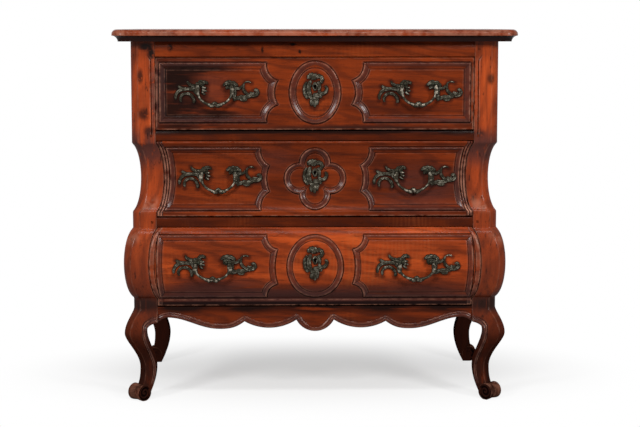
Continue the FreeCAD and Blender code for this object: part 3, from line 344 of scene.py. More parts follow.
class Finish:
    """The nodes of a material, or of the studio's light."""

    def __init__(self, owner):
        self.owner = owner
        owner.use_nodes = True
        self.tree = owner.node_tree
        self.tree.nodes.clear()

    @cached_property
    def place(self):
        return self.node("TexCoord").outputs["Object"]

    def node(self, kind, settings=None, values=None):
        """A node: its settings first, then the values or links of its sockets."""
        node = self.tree.nodes.new("ShaderNode" + kind)
        for key, value in (settings or {}).items():
            setattr(node, key, value)
        for key, value in (values or {}).items():
            if isinstance(value, Value):
                value = value.socket
            if isinstance(value, bpy.types.NodeSocket):
                self.tree.links.new(value, node.inputs[key])
            elif isinstance(value, tuple) and len(value) == 3 and node.inputs[key].type == "RGBA":
                node.inputs[key].default_value = (*value, 1)
            else:
                node.inputs[key].default_value = value
        return node

    def value(self, kind, settings, values, output=0):
        return Value(self, self.node(kind, settings, values).outputs[output])

    def ramp(self, share, stops):
        """Colours between (position, colour) stops."""
        node = self.node("ValToRGB", None, {0: share})
        elements = node.color_ramp.elements
        while len(elements) < len(stops):
            elements.new(0.5)
        for element, (position, colour) in zip(elements, stops):
            element.position = position
            element.color = (*colour, 1)
        return node.outputs[0]

    def noise(self, vector, scale, detail=4.0, roughness=0.55, distortion=0.0):
        return self.value("TexNoise", None, {"Vector": vector, "Scale": scale, "Detail": detail,
                                             "Roughness": roughness, "Distortion": distortion}, "Fac")

    def stretched(self, vector, scale):
        return self.node("VectorMath", {"operation": "MULTIPLY"}, {0: vector, 1: scale}).outputs[0]

    def timber(self, grain, seed):
        """The place with the grain turned to X, shifted so that no two boards are alike."""
        values = {"Vector": self.place, "Rotation": TURNS[grain], "Location": (seed, seed * 0.7, seed * 1.3)}
        return self.node("Mapping", None, values).outputs[0]

    def streaks(self, wood, lengthwise, across, *how):
        """Noise with this many features a metre along the grain and across it."""
        return self.noise(self.stretched(wood, (lengthwise, across, across)), 1.0, *how)

    def waves(self, wood, direction, stretch, scale, distortion, detail_scale):
        values = {"Vector": self.stretched(wood, stretch), "Scale": scale, "Distortion": distortion,
                  "Detail": 3.0, "Detail Scale": detail_scale}
        return self.value("TexWave", {"bands_direction": direction}, values, "Fac")

    def span(self, value, low, high, to_low=0.0, to_high=1.0):
        values = {"Value": value, "From Min": low, "From Max": high, "To Min": to_low, "To Max": to_high}
        return self.value("MapRange", {"interpolation_type": "SMOOTHSTEP"}, values)

    def mix(self, share, first, second):
        return self.node("Mix", {"data_type": "RGBA"}, {0: share, 6: first, 7: second}).outputs[2]

    def lay(self, share, paint):
        """Lay a share of paint over the colour so far."""
        self.colour = self.mix(share, self.colour, paint)

    # Reads a share stored on the vertices: wear, grime and dark polish, together with painted highlight and painted
    # shade.
    def vertex_share(self, name):
        return self.value("Attribute", {"attribute_name": name}, None, "Fac")

    def spot(self, centre, reach):
        """1 at a place, fading to 0 at `reach` from it along each axis, in metres."""
        away = self.node("VectorMath", {"operation": "SUBTRACT"}, {0: self.place, 1: centre})
        scaled = self.stretched(away.outputs[0], tuple(1 / r for r in reach))
        return self.span(self.value("VectorMath", {"operation": "LENGTH"}, {0: scaled}, "Value"), 1.0, 0.25)

    def seen(self):
        """1 where a camera, mirror or glass ray arrives, 0 where diffuse light is gathered."""
        rays = self.node("LightPath").outputs
        seen = Value(self, rays["Is Camera Ray"])
        return seen.atleast(Value(self, rays["Is Glossy Ray"])).atleast(Value(self, rays["Is Transmission Ray"]))

    def finish(self, values, bumps):
        """Close the material with its colour and these values: bumps are (height, distance) pairs."""
        for height, distance in bumps:
            bump = self.node("Bump", None, {"Height": height, "Distance": distance})
            if "Normal" in values:
                self.tree.links.new(values["Normal"], bump.inputs["Normal"])
            values["Normal"] = bump.outputs[0]
        shader = self.node("BsdfPrincipled", None, {"Base Color": self.colour, **values})
        self.node("OutputMaterial", None, {"Surface": shader.outputs[0]})
        return self.owner


def material(name):
    return Finish(bpy.data.materials.new(name))


TURNS = {"x": (0, 0, 0), "z": (0, math.pi / 2, 0), "y": (0, 0, math.pi / 2)}
WALNUT = [(0.30, (0.036, 0.007, 0.003)), (0.42, (0.105, 0.016, 0.004)), (0.54, (0.205, 0.030, 0.006)),
          (0.70, (0.36, 0.062, 0.012))]
DARK_GRAIN, PORES, PALE_CURL = (0.022, 0.006, 0.004), (0.018, 0.006, 0.004), (0.30, 0.075, 0.022)
# The black and purple colours paint real marks and also painted shade and shadow; the third dark paints only
# painted shade. The dark polish and grime paint old wax and dirt together with painted shade; the pale rubbed
# colour paints wear together with painted highlights.
BLACK_MARK_AND_SHADE, PURPLE_STAIN_AND_SHADE, DEEP_SHADE = (0.009, 0.003, 0.002), (0.050, 0.017, 0.014), (0.020, 0.007, 0.005)
DARK_POLISH_AND_SHADE, GRIME_AND_SHADE, WORN_AND_HIGHLIT_WOOD = (0.030, 0.007, 0.005), (0.005, 0.002, 0.002), (0.38, 0.165, 0.105)
SMALL_MARK, MARK_Y, MARK_DEPTH = 0.03, -0.24, 0.12


def walnut(name, grain, seed, tone=1.0, stains_and_shade=(), ripple=0.15, figure=0.35, foot=None, flecks=0.3, shine=0.045,
           glaze=0.0):
    """Waxed red walnut.

    foot is (low, high, share): painted shade darkens the wood by share from the height `high` down to `low`.
    glaze is a coat of wax that the calf and the foot have lost."""
    f = material(name)
    wood = f.timber(grain, seed)
    bands = f.streaks(wood, 2.6, 28, 5, 0.6, 0.5)
    fibres = f.streaks(wood, 9, 170, 4, 0.65)
    pores = f.streaks(wood, 38, 950, 2, 0.5)
    cloud = f.noise(wood, 5.5, 3, 0.5)
    rings = f.waves(wood, "DIAGONAL", (0.35, 1.6, 1.6), 11.0, 9.0, 0.9)
    curl = f.waves(wood, "X", (1.0, 0.22, 0.22), 30.0, 11.0, 0.8) * f.span(cloud, 0.48, 0.72)
    height = f.value("SeparateXYZ", None, {0: f.place}, "Z")

    f.colour = f.ramp(bands * 0.44 + cloud * 0.30 + 0.13,
                      [(at, tuple(part * tone for part in paint)) for at, paint in WALNUT])
    f.lay(f.span(rings, 0.5, 1.0) * figure, DARK_GRAIN)
    f.lay(f.span(fibres, 0.48, 0.72) * 0.4, DARK_GRAIN)
    f.lay(curl * ripple, PALE_CURL)
    # Painted shade: the wood darker towards the floor.
    if foot:
        low, high, share = foot
        f.lay(f.span(height, low, high, share, 0.0), DEEP_SHADE)
    # Stains, and patches of painted shade and shadow, as the lists give them.
    for x, z, reach_x, reach_z, strength, paint in stains_and_shade:
        drawn_out = (120, 120) if reach_x < SMALL_MARK else (6, 70)
        broken = f.span(f.streaks(wood, *drawn_out, 4, 0.6), 0.28, 0.48)
        patch = f.spot((x, MARK_Y, z), (reach_x, MARK_DEPTH, reach_z))
        f.lay(patch * broken * strength, paint)
    f.lay(f.span(pores, 0.60, 0.70) * 0.55, PORES)
    f.lay(f.span(f.streaks(wood, 26, 95, 3, 0.7), 0.60, 0.70) * flecks, BLACK_MARK_AND_SHADE)
    # Dark old polish together with painted shade over the moulding bands.
    f.lay(f.vertex_share("polish") * 0.64, DARK_POLISH_AND_SHADE)
    # Grime together with painted shade in hollows, grooves, joints and the cove.
    f.lay(f.vertex_share("recess") * 0.95, GRIME_AND_SHADE)
    # Wear together with painted highlights on ridges, edges and the shine lines.
    worn_and_highlit = f.vertex_share("crest") * f.span(f.noise(wood, 60, 3), 0.3, 0.65)
    f.lay(worn_and_highlit * 0.55, WORN_AND_HIGHLIT_WOOD)
    rough = f.span(f.noise(wood, 26, 4), 0.3, 0.7, 0.17, 0.28) + f.vertex_share("recess") * 0.2
    wax = f.vertex_share("polish") * 0.16 + f.span(height, 0.12, 0.32, 0.0, glaze)
    return f.finish({"Roughness": rough, "IOR": 1.45, "Specular IOR Level": shine, "Coat Weight": wax,
                     "Coat Roughness": 0.2},
                    [(f.noise(wood, 14, 3), 0.0007), (bands * 0.7 + fibres * 0.3, 0.0006), (pores, 0.00012)])


def bare_wood(name, grain, seed):
    """Planed poplar, unfinished and aged."""
    f = material(name)
    wood = f.timber(grain, seed)
    bands = f.streaks(wood, 1.6, 22, 5, 0.6, 0.8)
    fibres = f.streaks(wood, 12, 300, 3, 0.6)
    f.colour = f.ramp(bands, [(0.32, (0.21, 0.105, 0.045)), (0.5, (0.36, 0.21, 0.10)), (0.7, (0.50, 0.33, 0.17))])
    f.lay(f.span(fibres, 0.5, 0.75) * 0.4, (0.16, 0.08, 0.035))
    f.lay(f.span(f.noise(wood, 4.0, 3), 0.45, 0.75) * 0.5, (0.14, 0.07, 0.035))
    return f.finish({"Roughness": f.span(fibres, 0.3, 0.7, 0.62, 0.8)}, [(bands, 0.0006), (fibres, 0.0003)])


def rubbed_and_highlit_bronze():
    """Cast bronze, dark green-brown, with wear and painted highlights on the high places, and near black in the
    hollows by the wood, as patina with painted shade.
    """
    f = material("rubbed_and_highlit_bronze")
    cloud = f.noise(f.place, 130, 4)
    grit = f.noise(f.place, 900, 3)
    # Wear together with painted highlights on the high places.
    high = f.vertex_share("crest") * f.span(cloud, 0.44, 0.68)
    f.colour = f.mix(f.span(cloud, 0.42, 0.62), (0.022, 0.018, 0.012), (0.020, 0.023, 0.015))
    f.lay(high * 0.75, (0.38, 0.325, 0.26))
    # Patina together with painted shade low on the flanks, by the wood.
    f.lay(f.vertex_share("recess"), (0.006, 0.005, 0.005))
    return f.finish({"Roughness": f.span(cloud, 0.3, 0.7, 0.5, 0.32) + grit * 0.08,
                     "Metallic": 0.6, "Specular IOR Level": 0.25, "Specular Tint": (0.45, 0.42, 0.36)},
                    [(cloud, 0.0008), (grit, 0.0002)])


def lock_iron():
    """Dark lock iron with a little rust."""
    f = material("lock_iron")
    cloud = f.noise(f.place, 90, 5)
    f.colour = f.mix(f.span(cloud, 0.5, 0.7), (0.075, 0.070, 0.066), (0.13, 0.062, 0.035))
    return f.finish({"Roughness": f.span(cloud, 0.35, 0.7, 0.45, 0.75), "Metallic": 0.7}, [(cloud, 0.0004)])


# ---------- drawers
# follow is how far the outer end of a panel follows the bombe line; pulls are the middles of the handles.
DRAWERS = [
    Drawer(number=1, bottom=675.5, top=852.5, back=-210.0, ridge_bottom=693.5, ridge_top=840.3, margin=9,
           follow=1.0, corner=118, tip=90, waist=99, tip_half=29.8, pulls=(-244, 253), pivot_y=-252.0,
           pivot_z=788.6, keyhole=778.9, rounding=3.0, moulding=1.0, rose_lift=-1.0, drop=51.5),
    Drawer(number=2, bottom=462.5, top=648.0, back=-191.4, ridge_bottom=476.7, ridge_top=632.2, margin=17,
           follow=0.8, corner=133, tip=112, waist=119.5, tip_half=32.5, pulls=(-238, 242), pivot_y=-233.21,
           pivot_z=575.45, keyhole=566.25, rounding=3.0, moulding=0.82, rose_lift=2.0, drop=51.5),
    Drawer(number=3, bottom=240.0, top=435.0, back=-208.0, ridge_bottom=260.5, ridge_top=418.5, margin=8,
           follow=0.4, corner=119, tip=92, waist=99, tip_half=43.8, pulls=(-252, 249), pivot_y=-273.79,
           pivot_z=353.1, keyhole=353.8, rounding=1.8, moulding=0.82, rose_lift=9.0, drop=43.0),
]
OVALS = {1: (63.0, 76.5), 3: (69.5, 78.3)}
LOBE = 38.0
LOCK_HALF, LOCK_SET_IN, LOCK_BELOW = 45.0, 12.0, 26.0
STRIKE_HALF, STRIKE_REACH, STRIKE_RISE, STRIKE_IN_FROM_BACK = 17.0, 6.0, 10.0, 5.0
KEYHOLE_DEPTH = 13.0
RIDGE_AT = [-2.2, -1.2, -0.3, 0.7, 1.8, 3.0, 4.4, 6.5, 9.0, 11.5, 13.5, 14.6, 15.4, 16.8, 18.2]
RIDGE_UP = [0.0, -0.7, -0.7, 1.6, 3.7, 4.0, 3.8, 3.1, 2.1, 1.1, 0.6, 0.6, -0.5, -0.9, 0.0]
MOULDING, CREST_LINE, INNER_QUIRK = 15.0, 2.7, 16.0
REED_START, REED_PITCH, REED_END = 0.8, 6.45, 13.7
ROLL_MIDDLE, ROLL_HALF, ROLL_END = 6.4, 6.0, 12.4
REED_SHINE, ROLL_SHINE, ROLL_TURN, LIP_LINE = (525, 485), (370, 412), (405, 436), 254.5


def panel_line(d):
    """Outer line of the right-hand panel moulding."""
    top, bottom = d.ridge_top, d.ridge_bottom
    middle = (bottom + top) / 2
    end = [(SEAM - d.margin + d.follow * outward(z), z) for z in (bottom, middle, top)]
    end = arc(*end) if end[1][0] != end[0][0] else end[::2]
    bend_x = d.tip + (d.corner - d.tip) * math.sqrt(0.5)
    drop = (top - middle - d.tip_half) * math.sqrt(0.5)
    upper = arc((d.corner, top), (bend_x, top - drop), (d.tip, middle + d.tip_half), 12)
    waist = arc((d.tip, middle + d.tip_half), (d.waist, middle), (d.tip, middle - d.tip_half), 12)
    lower = arc((d.tip, middle - d.tip_half), (bend_x, bottom + drop), (d.corner, bottom), 12)
    return np.vstack([end, upper, waist, lower])


def motif_depth(d, x, z):
    """Distance inside the oval, or the quatrefoil of the middle drawer."""
    z = z - (d.ridge_bottom + d.ridge_top) / 2
    if d.number not in OVALS:
        lobes = [LOBE - np.hypot(x - a, z - b) for a, b in ((LOBE, 0), (-LOBE, 0), (0, LOBE), (0, -LOBE))]
        return np.maximum.reduce(lobes + [np.minimum(LOBE - np.abs(x), LOBE - np.abs(z))])
    width, height = OVALS[d.number]
    sx, sz = 0.75 * width, 0.66 * height
    right = arc((sx, sz), (width, 0), (sx, -sz))
    foot = arc((sx, -sz), (0, -height), (-sx, -sz))
    return depth_inside(x, z, np.vstack([right, foot, -right, -foot]))


def keyhole_depth(x, z):
    """Distance inside the keyhole, for z measured from its middle."""
    eye = 4.0 - np.hypot(x, z - 4.0)
    slot = np.minimum(2.7 - np.abs(x), np.minimum(z + 8.0, 4.0 - z))
    return np.maximum(eye, slot)


def dirt_and_shade_round_mounts(d, x, z):
    """Share of old wax and dirt, together with painted shade, gathered round the roses and the keyhole plate."""
    spines = [flowing(leaf[0], 3) + (pull, d.pivot_z + d.rose_lift - 1.5)
              for pull in d.pulls for leaf in LEFT_ROSE + RIGHT_ROSE]
    spines += [flowing(leaf[0], 3) + (0, d.keyhole - 1.5) for leaf in PLATE]
    nearest = np.full(x.shape, 1e9)
    for spine_x, spine_z in np.vstack(spines):
        nearest = np.minimum(nearest, (x - spine_x) ** 2 + (z - spine_z) ** 2)
    return smooth(9.5, 3.0, np.sqrt(nearest))


def spaced(low, high, zones, coarse):
    """Stations from low to high, finer inside each (from, to, step) zone and close by both ends."""
    rim = [0.0, 0.5, 1.1, 1.8, 2.6, 3.5]
    stations = [low + r for r in rim] + [high - r for r in rim]
    at = low + rim[-1]
    while at < high - 4.5:
        at += min([step for a, b, step in zones if a <= at < b], default=coarse)
        stations.append(min(at, high - 4.2))
    return np.unique(np.round(stations, 3))


def front_panel(d):
    """Carved drawer front: flowing bombe face, ridge mouldings, keyhole, flat back with a lock mortise."""
    half = SEAM - 1
    flat = spaced(-half, half, [(-152, 152, 1.15), (-half, -338, 1.15), (338, half, 1.15), (-half, -374, 0.7),
                                (374, half, 0.7)], 3.4)
    levels = spaced(d.bottom, d.top, [], 1.3)
    share, z = np.meshgrid(flat / half, levels)
    end = half + SEAM_FOLLOW * outward(z)
    x = share * end
    from_end = np.broadcast_to(half - np.abs(flat), x.shape)
    from_top = d.top - z
    in_panel = depth_inside(np.abs(x), z, panel_line(d)) / d.moulding
    in_motif = motif_depth(d, x, z) / d.moulding
    ridge, motif = np.interp(in_panel, RIDGE_AT, RIDGE_UP), np.interp(in_motif, RIDGE_AT, RIDGE_UP)
    relief = np.where(np.abs(motif) > np.abs(ridge), motif, ridge)
    if d.number == 2:
        reeds = 2.6 * np.abs(np.sin(math.pi * (from_end - REED_START) / REED_PITCH)) ** 0.8
        relief = np.where((from_end > REED_START) & (from_end < REED_END), reeds - 0.6, relief)
    if d.number == 3:
        roll = 3.8 * np.sqrt(np.clip(1 - ((from_end - ROLL_MIDDLE) / ROLL_HALF) ** 2, 0, 1))
        wide = smooth(6, 14, end - (SEAM - d.margin + d.follow * outward(z)))
        relief = np.where(from_end < ROLL_END, roll * (0.4 + 0.6 * wide) - 0.4, relief)
    rim = np.minimum(from_end, np.minimum(z - d.bottom, from_top))
    near = np.clip(d.rounding - rim, 0, d.rounding)
    relief = relief * smooth(0, 2.0, rim) - (d.rounding - np.sqrt(d.rounding ** 2 - near ** 2))

    # Lighter on convex places, as wear and painted highlight; darker in hollows, as grime and painted shade.
    crest, recess = bend_of(relief, flat, levels)
    crest = crest * smooth(0.5, 5.0, from_top)
    # Painted highlight lines on the moulding crests and painted shade along the inner quirk, both stronger on
    # upright runs; the bands darkened with old polish and painted shade.
    moulded = np.zeros(x.shape)
    for depth in (in_panel, in_motif):
        upright = np.clip(np.abs(np.gradient(depth, flat, axis=1)), 0, 1)
        crest = np.where((depth > -1) & (depth < MOULDING), crest * (0.3 + 0.7 * upright), crest)
        crest = np.maximum(crest, (0.3 + 0.65 * upright) * line_at(depth, CREST_LINE, 1.5))
        recess = np.maximum(recess, (0.1 + 0.7 * upright) * line_at(depth, INNER_QUIRK, 2.0))
        moulded = np.maximum(moulded, (depth > 0) * smooth(11 + 5 * upright, 7.5 + 7 * upright, depth))
    crests, recesses, moulds = [crest], [recess], [moulded]
    if d.number == 1:
        # Painted shade in the groove along the top edge, fading to the right.
        recesses.append(0.8 * line_at(from_top, 2.0, 1.6) * smooth(60, -60, x))
    if d.number == 2:
        # Painted highlights low on the reeds, dark polish with painted shade over them, painted shade in their
        # grooves.
        crests.append(1.6 * smooth(*REED_SHINE, z) * (from_end < REED_END) * smooth(0.8, 2.2, reeds))
        moulds.append(smooth(15.5, 13.0, from_end))
        recesses += [0.9 * line_at(from_end, REED_START + k * REED_PITCH, 0.9) for k in range(3)]
    if d.number == 3:
        # Painted highlight along the end roll and the bottom lip, dark polish with painted shade on the roll,
        # painted shade under the lip.
        shine_at = 5.0 + 7.0 * smooth(*ROLL_TURN, z)
        crests += [1.5 * smooth(*ROLL_SHINE, z) * line_at(from_end, shine_at, 2.3), 0.6 * line_at(z, LIP_LINE, 1.5)]
        moulds.append(0.6 * smooth(13.5, 11.5, from_end))
        recesses.append(smooth(LIP_LINE - 2.5, LIP_LINE - 6, z))
    hole = keyhole_depth(x, z - d.keyhole)
    # Dark joint line along the ends, dirt with painted shade round the mounts, painted shade in the keyhole.
    recesses += [0.9 * line_at(from_end, 0.0, 1.5), 0.62 * dirt_and_shade_round_mounts(d, x, z), smooth(-2.5, 0.5, hole)]
    y = on_front(z) - np.where(hole > 0, -KEYHOLE_DEPTH, relief)
    bm = sheet(x, y, z, crest=np.maximum.reduce(crests), recess=np.maximum.reduce(recesses),
               polish=np.maximum.reduce(moulds))
    back_of(bm, d.back)
    return pocketed(bm, (-LOCK_HALF, d.back - LOCK_SET_IN, d.keyhole - LOCK_BELOW),
                    (LOCK_HALF, d.back + 5, d.top + 5))


# ---------- posts, legs and feet
def band_relief(x, z):
    """Moulding along the lower edge of the apron and down the inner edge of the leg."""
    width = 7.5 + 6.0 * smooth(176, 200, z)
    return np.interp(distance_to(x, z, BAND_LINE) / width,
                     [0, 0.12, 0.3, 0.52, 0.62, 0.70, 0.80, 0.92, 1.0, 1.12],
                     [0.2, 1.8, 2.6, 2.2, 1.0, 1.6, 2.0, 1.4, -0.5, 0.0])


def straight(start, end, count):
    """Points from start to end, both (x, y), without the first."""
    t = np.linspace(0, 1, count + 1)[None, 1:]
    return tuple(a + (b - a) * t for a, b in zip(start, end))


SHOULDER = 215.0
POST_ZONES = [(0.0, LEG_TOP, math.nan), (LEG_TOP, SHOULDER, LAP_BACK), (SHOULDER, APRON_TOP, LAP_BACK),
              (APRON_TOP, 436.5, -207.7), (436.5, 459.5, LAP_BACK), (459.5, 649.5, -191.1),
              (649.5, 672.5, LAP_BACK), (672.5, 854.0, -209.7), (854.0, CARCASE_TOP, LAP_BACK)]
FACE_COLUMNS, CANT_COLUMNS, REST_COLUMNS = 34, 11, 16
QUIRK_DEPTH, VOLUTE_X, VOLUTE_HEIGHT = 2.2, 438.5, 20.0
BEAD_FOOT, BEAD_HEAD, HOLLOW_SHINE, BELLY_SHINE = (656, 668), (860, 848), 490, 410


def front_post():
    """Right front post: bead by the seam, canted corner, cabriole leg, pockets for rails and drawers."""
    levels, pockets = [], []
    for low, high, pocket in POST_ZONES:
        step = 1.7 if low < APRON_TOP else 3.0
        levels.append(np.linspace(low, high, max(3, int((high - low) / step) + 1)))
        pockets.append(np.full(len(levels[-1]), pocket))
    z, pocket = np.concatenate(levels)[:, None], np.concatenate(pockets)[:, None]
    leg = np.isnan(pocket)
    out = outward(z)
    side_x, face_y = HALF + out, FRONT - out
    cant = BODY_CANT + (LEG_CANT - BODY_CANT) * smooth(234, 200, z)
    cant = np.minimum(cant, 0.5 * (out - np.where(z < LEG_TOP, leg_inner(z), -60.0)))
    seam_x = np.where(leg, HALF + leg_inner(z), SEAM + SEAM_FOLLOW * np.where(z > APRON_TOP, out, 0))
    inner_x = np.where(leg, seam_x, np.interp(z, [LEG_TOP, SHOULDER], [SEAM, POST_INNER]))
    back_y = np.where(leg, FRONT - leg_inner(z), np.interp(z, [LEG_TOP, 206], [FRONT + 60, FRONT_POST_BACK]))
    pocket_y = np.where(leg, face_y + 2.0, pocket)

    share = np.linspace(0, 1, FACE_COLUMNS)[None, :] ** 1.15
    face_x = seam_x + (side_x - cant - seam_x) * share
    face_z = np.broadcast_to(z, face_x.shape)
    relief = np.where(face_z < APRON_TOP, band_relief(face_x, face_z) * smooth(232, 222, face_z), 0)
    relief = relief * smooth(34, 52, face_z)
    banded = smooth(0.3, 1.2, relief)
    from_seam = face_x - seam_x
    bead_on = smooth(*BEAD_FOOT, face_z) * smooth(*BEAD_HEAD, face_z)
    quirk_at = 9.5 + 7.0 * smooth(838, 858, face_z) ** 2
    bead = QUIRK_DEPTH * (np.sqrt(np.clip(1 - ((from_seam - quirk_at / 2) / (quirk_at / 2)) ** 2, 0, 1)) - 1)
    quirk = -QUIRK_DEPTH * line_at(from_seam, quirk_at + 0.6, 0.9)
    relief = relief + bead_on * np.where(from_seam < quirk_at, bead, quirk)
    relief = relief - np.where(leg, 0.0, 0.8 * np.exp(-from_seam / 0.5))
    # Lighter on convex places, as wear and painted highlight; darker in hollows, as grime and painted shade, with a
    # dark joint line at the seam.
    crest, recess = bend_of(relief, np.linspace(0, 40, FACE_COLUMNS), np.arange(len(z)) * 2.2)
    recess = np.maximum(recess, np.where(leg, 0, 0.9 * line_at(from_seam, 0, 1.3)))
    # Painted highlights low in the hollow and high on the belly.
    crest = np.maximum(crest, 0.75 * line_at(face_z, HOLLOW_SHINE, 15) * smooth(2, 14, from_seam))
    crest = np.maximum(crest, 0.7 * line_at(face_z, BELLY_SHINE + 1, 12) * smooth(20, 45, from_seam))

    turn = np.linspace(0, 1, CANT_COLUMNS + 1)[None, 1:]
    bulge = 2 * CANT_BULGE * turn * (1 - turn)
    parts = [(face_x, face_y - relief),
             (side_x - cant * ((1 - turn) ** 2 + bulge), face_y + cant * (turn ** 2 + bulge))]
    corners = [(side_x, face_y + cant), (side_x, back_y), (inner_x, back_y), (inner_x, pocket_y),
               (seam_x, pocket_y), (seam_x, face_y - relief[:, :1])]
    parts += [straight(*ends, count) for *ends, count in zip(corners, corners[1:], (6, 3, 3, 2, 2))]
    crest, recess, banded = (np.pad(share, ((0, 0), (0, CANT_COLUMNS + REST_COLUMNS)))
                             for share in (crest, recess, banded))
    # Painted highlights along the edges of the cant and across it at the belly.
    edge = np.where(np.arange(CANT_COLUMNS) % (CANT_COLUMNS - 1) == 0, 0.35, 0)
    crest[:, FACE_COLUMNS:-REST_COLUMNS] = np.maximum(edge, 0.7 * line_at(z, BELLY_SHINE - 1, 13))
    bm = course_sheet(parts, z, crest=crest, recess=recess, polish=banded)
    weld(bm)
    cap(bm)
    volute(bm, (VOLUTE_X, -224.5), (1, 1, 0))
    return bm


def rear_post():
    """Right rear post: the same line towards the side, a flat back, a volute foot."""
    z = np.concatenate([np.linspace(0, 240, 120), np.linspace(243, CARCASE_TOP, 220)])[:, None]
    side_x = HALF + outward(z)
    inner_x = np.where(z < LEG_TOP, HALF + leg_inner(z), np.interp(z, [LEG_TOP, 206], [SEAM, POST_INNER]))
    swell = along([[(225, 0), (229, 26.7), (229, 53.3), (229, 80)],
                   [(229, 80), (229, 142), (REAR_POST_FRONT, 172), (REAR_POST_FRONT, 206)]])
    front_y = np.interp(z, swell[:, 1], swell[:, 0])
    r = 3.0
    turn = np.linspace(0, math.pi / 2, 6)[None, :]
    bm = course_sheet([(inner_x, front_y), (side_x - r + r * np.sin(turn), front_y + r - r * np.cos(turn)),
                       (side_x - r + r * np.cos(turn), BACK - r + r * np.sin(turn)), (inner_x, BACK),
                       (inner_x, front_y)], z)
    weld(bm)
    cap(bm)
    volute(bm, (VOLUTE_X, 248.0), (0, 1, 0))
    return bm


def volute(bm, centre, axis, radius=21.0, length=42.0, turns=2.2):
    """Rolled foot: a waisted roll with a spiral carved in each end, flat on the floor."""
    angles = np.linspace(0, 2 * math.pi, 73)[None, :]
    rims = np.concatenate([np.linspace(0.02, 1, 20), np.ones(9), np.linspace(1, 0.02, 20)])[:, None]
    ends = np.concatenate([np.full(20, -1.0), np.linspace(-1, 1, 11)[1:-1], np.full(20, 1.0)])[:, None]
    on_end = np.abs(ends) == 1
    lip = on_end * (rims > 0.97)
    spiral = np.cos(2 * math.pi * turns * rims - angles * np.sign(ends + 1e-9))
    carved = on_end * smooth(1.0, 0.82, rims) * (1.6 - 1.5 * spiral) * smooth(0.0, 0.2, rims)
    lengthwise = ends * length / 2 - np.sign(ends) * (carved + 1.2 * lip)
    reach = radius * rims * (1 - 0.10 * (1 - np.abs(ends))) * (1 - 0.02 * lip)
    axis = np.array(axis) / np.linalg.norm(axis)
    x = centre[0] + axis[0] * lengthwise - axis[1] * reach * np.cos(angles)
    y = centre[1] + axis[1] * lengthwise + axis[0] * reach * np.cos(angles)
    z = np.maximum(VOLUTE_HEIGHT + reach * np.sin(angles), 0)
    # Wear with painted highlight on the lip of each end; grime with painted shade in the carved spiral.
    join_closed(bm, sheet(x, y, z, crest=0.6 * (np.abs(rims - 0.97) < 0.06), recess=np.clip(carved / 2.6, 0, 1)))


# ---------- top, rails, apron, sides
def top_board():
    """Top with a thumbnail moulding over a nose and a cove, plain along the back."""
    thumbnail = arc((13, TOP), (3.64, 916.7), (0, 909), 12)
    cove = arc((0, 905), (10.5, 900.8), (15, CARCASE_TOP), 10)
    profile = np.vstack([[(20, TOP), (14.2, TOP), (13.6, 919.4)], thumbnail[1:-1],
                         [(0.2, 909.4), (0, 908.6), (0, 905.6), (0.4, 905)], cove[1:], [(20, CARCASE_TOP)]])
    inset, z = profile[:, :1], profile[:, 1:]
    turn = np.linspace(0, math.pi / 2, 14)[None, :]
    radius = TOP_CORNER - inset
    end_x, front_y = TOP_HALF - inset, TOP_FRONT + inset
    corner_x, corner_y = end_x - radius, front_y + radius
    run = np.linspace(0, 1, 24)[None, :]
    parts = [(-end_x, TOP_REAR + (corner_y - TOP_REAR) * run),
             (-corner_x - radius * np.cos(turn), corner_y - radius * np.sin(turn)),
             (-corner_x + 2 * corner_x * run, front_y),
             (corner_x + radius * np.sin(turn), corner_y - radius * np.cos(turn)),
             (end_x, corner_y + (TOP_REAR - corner_y) * run), (end_x - 2 * end_x * run, TOP_REAR)]
    row = np.arange(len(z))[:, None]
    # Painted highlight on the thumbnail; painted shade in the cove under the nose.
    bm = course_sheet(parts, z, crest=0.7 * ((row > 5) & (row < 16)), recess=row > 17)
    weld(bm)
    cap(bm)
    return bm


def rail(low, high, d):
    """Rail lapped over the posts' inner faces, with a pocket for the lock bolt of the drawer below."""
    bm = bmesh.new()
    strike = d.back - STRIKE_IN_FROM_BACK
    for start, end, reach, bevel in ((FRONT, LAP_BACK, SEAM, 1.2), (LAP_BACK - 0.5, RAIL_BACK, POST_INNER, 0.6)):
        part = bmesh.new()
        block(part, (-reach, start, low), (reach, end, high), bevel)
        if start < strike < end:
            part = pocketed(part, (-STRIKE_HALF, strike - STRIKE_REACH, low - 5),
                            (STRIKE_HALF, strike + STRIKE_REACH, d.top + STRIKE_RISE))
        join(bm, part)
    return bm


def apron():
    """Scalloped apron with a double moulding along its lower edge."""
    x = np.unique(np.concatenate([np.arange(-SEAM, SEAM + 1, 2.2), [SEAM, 46.4, -46.4, 175.1, -175.1]]))
    low = np.interp(np.abs(x), *APRON_EDGE[::-1].T)
    z = low + (APRON_TOP - low) * np.linspace(0, 1, 26)[:, None] ** 1.25
    x = np.broadcast_to(x, z.shape)
    flare = 4.0 * smooth(223, 203, z) * smooth(389, 350, np.abs(x))
    relief = band_relief(np.abs(x), z)
    # Wear with painted highlight on the band's ridges, grime with painted shade in its hollows, dark polish with
    # painted shade over the band.
    crest, recess = bend_of(relief, x[0], np.linspace(0, 50, 26))
    bm = sheet(x, FRONT - flare - relief, z, crest=np.minimum(1.4 * crest, 1), recess=recess,
               polish=smooth(0.3, 1.2, relief))
    back_of(bm, LAP_BACK)
    return bm


def side_panel():
    """Right bombe panel."""
    y, z = np.meshgrid(np.linspace(-182, 227, 12), np.linspace(255.8, 862, 220))
    x = HALF - PANEL_SET_BACK + outward(z)
    bm = sheet(x, y, z)
    for vertex in drawn_rim(bm):
        vertex.co.x -= PANEL_THICK
    join(bm, sheet(x - PANEL_THICK, y, z))
    weld(bm)
    return bm


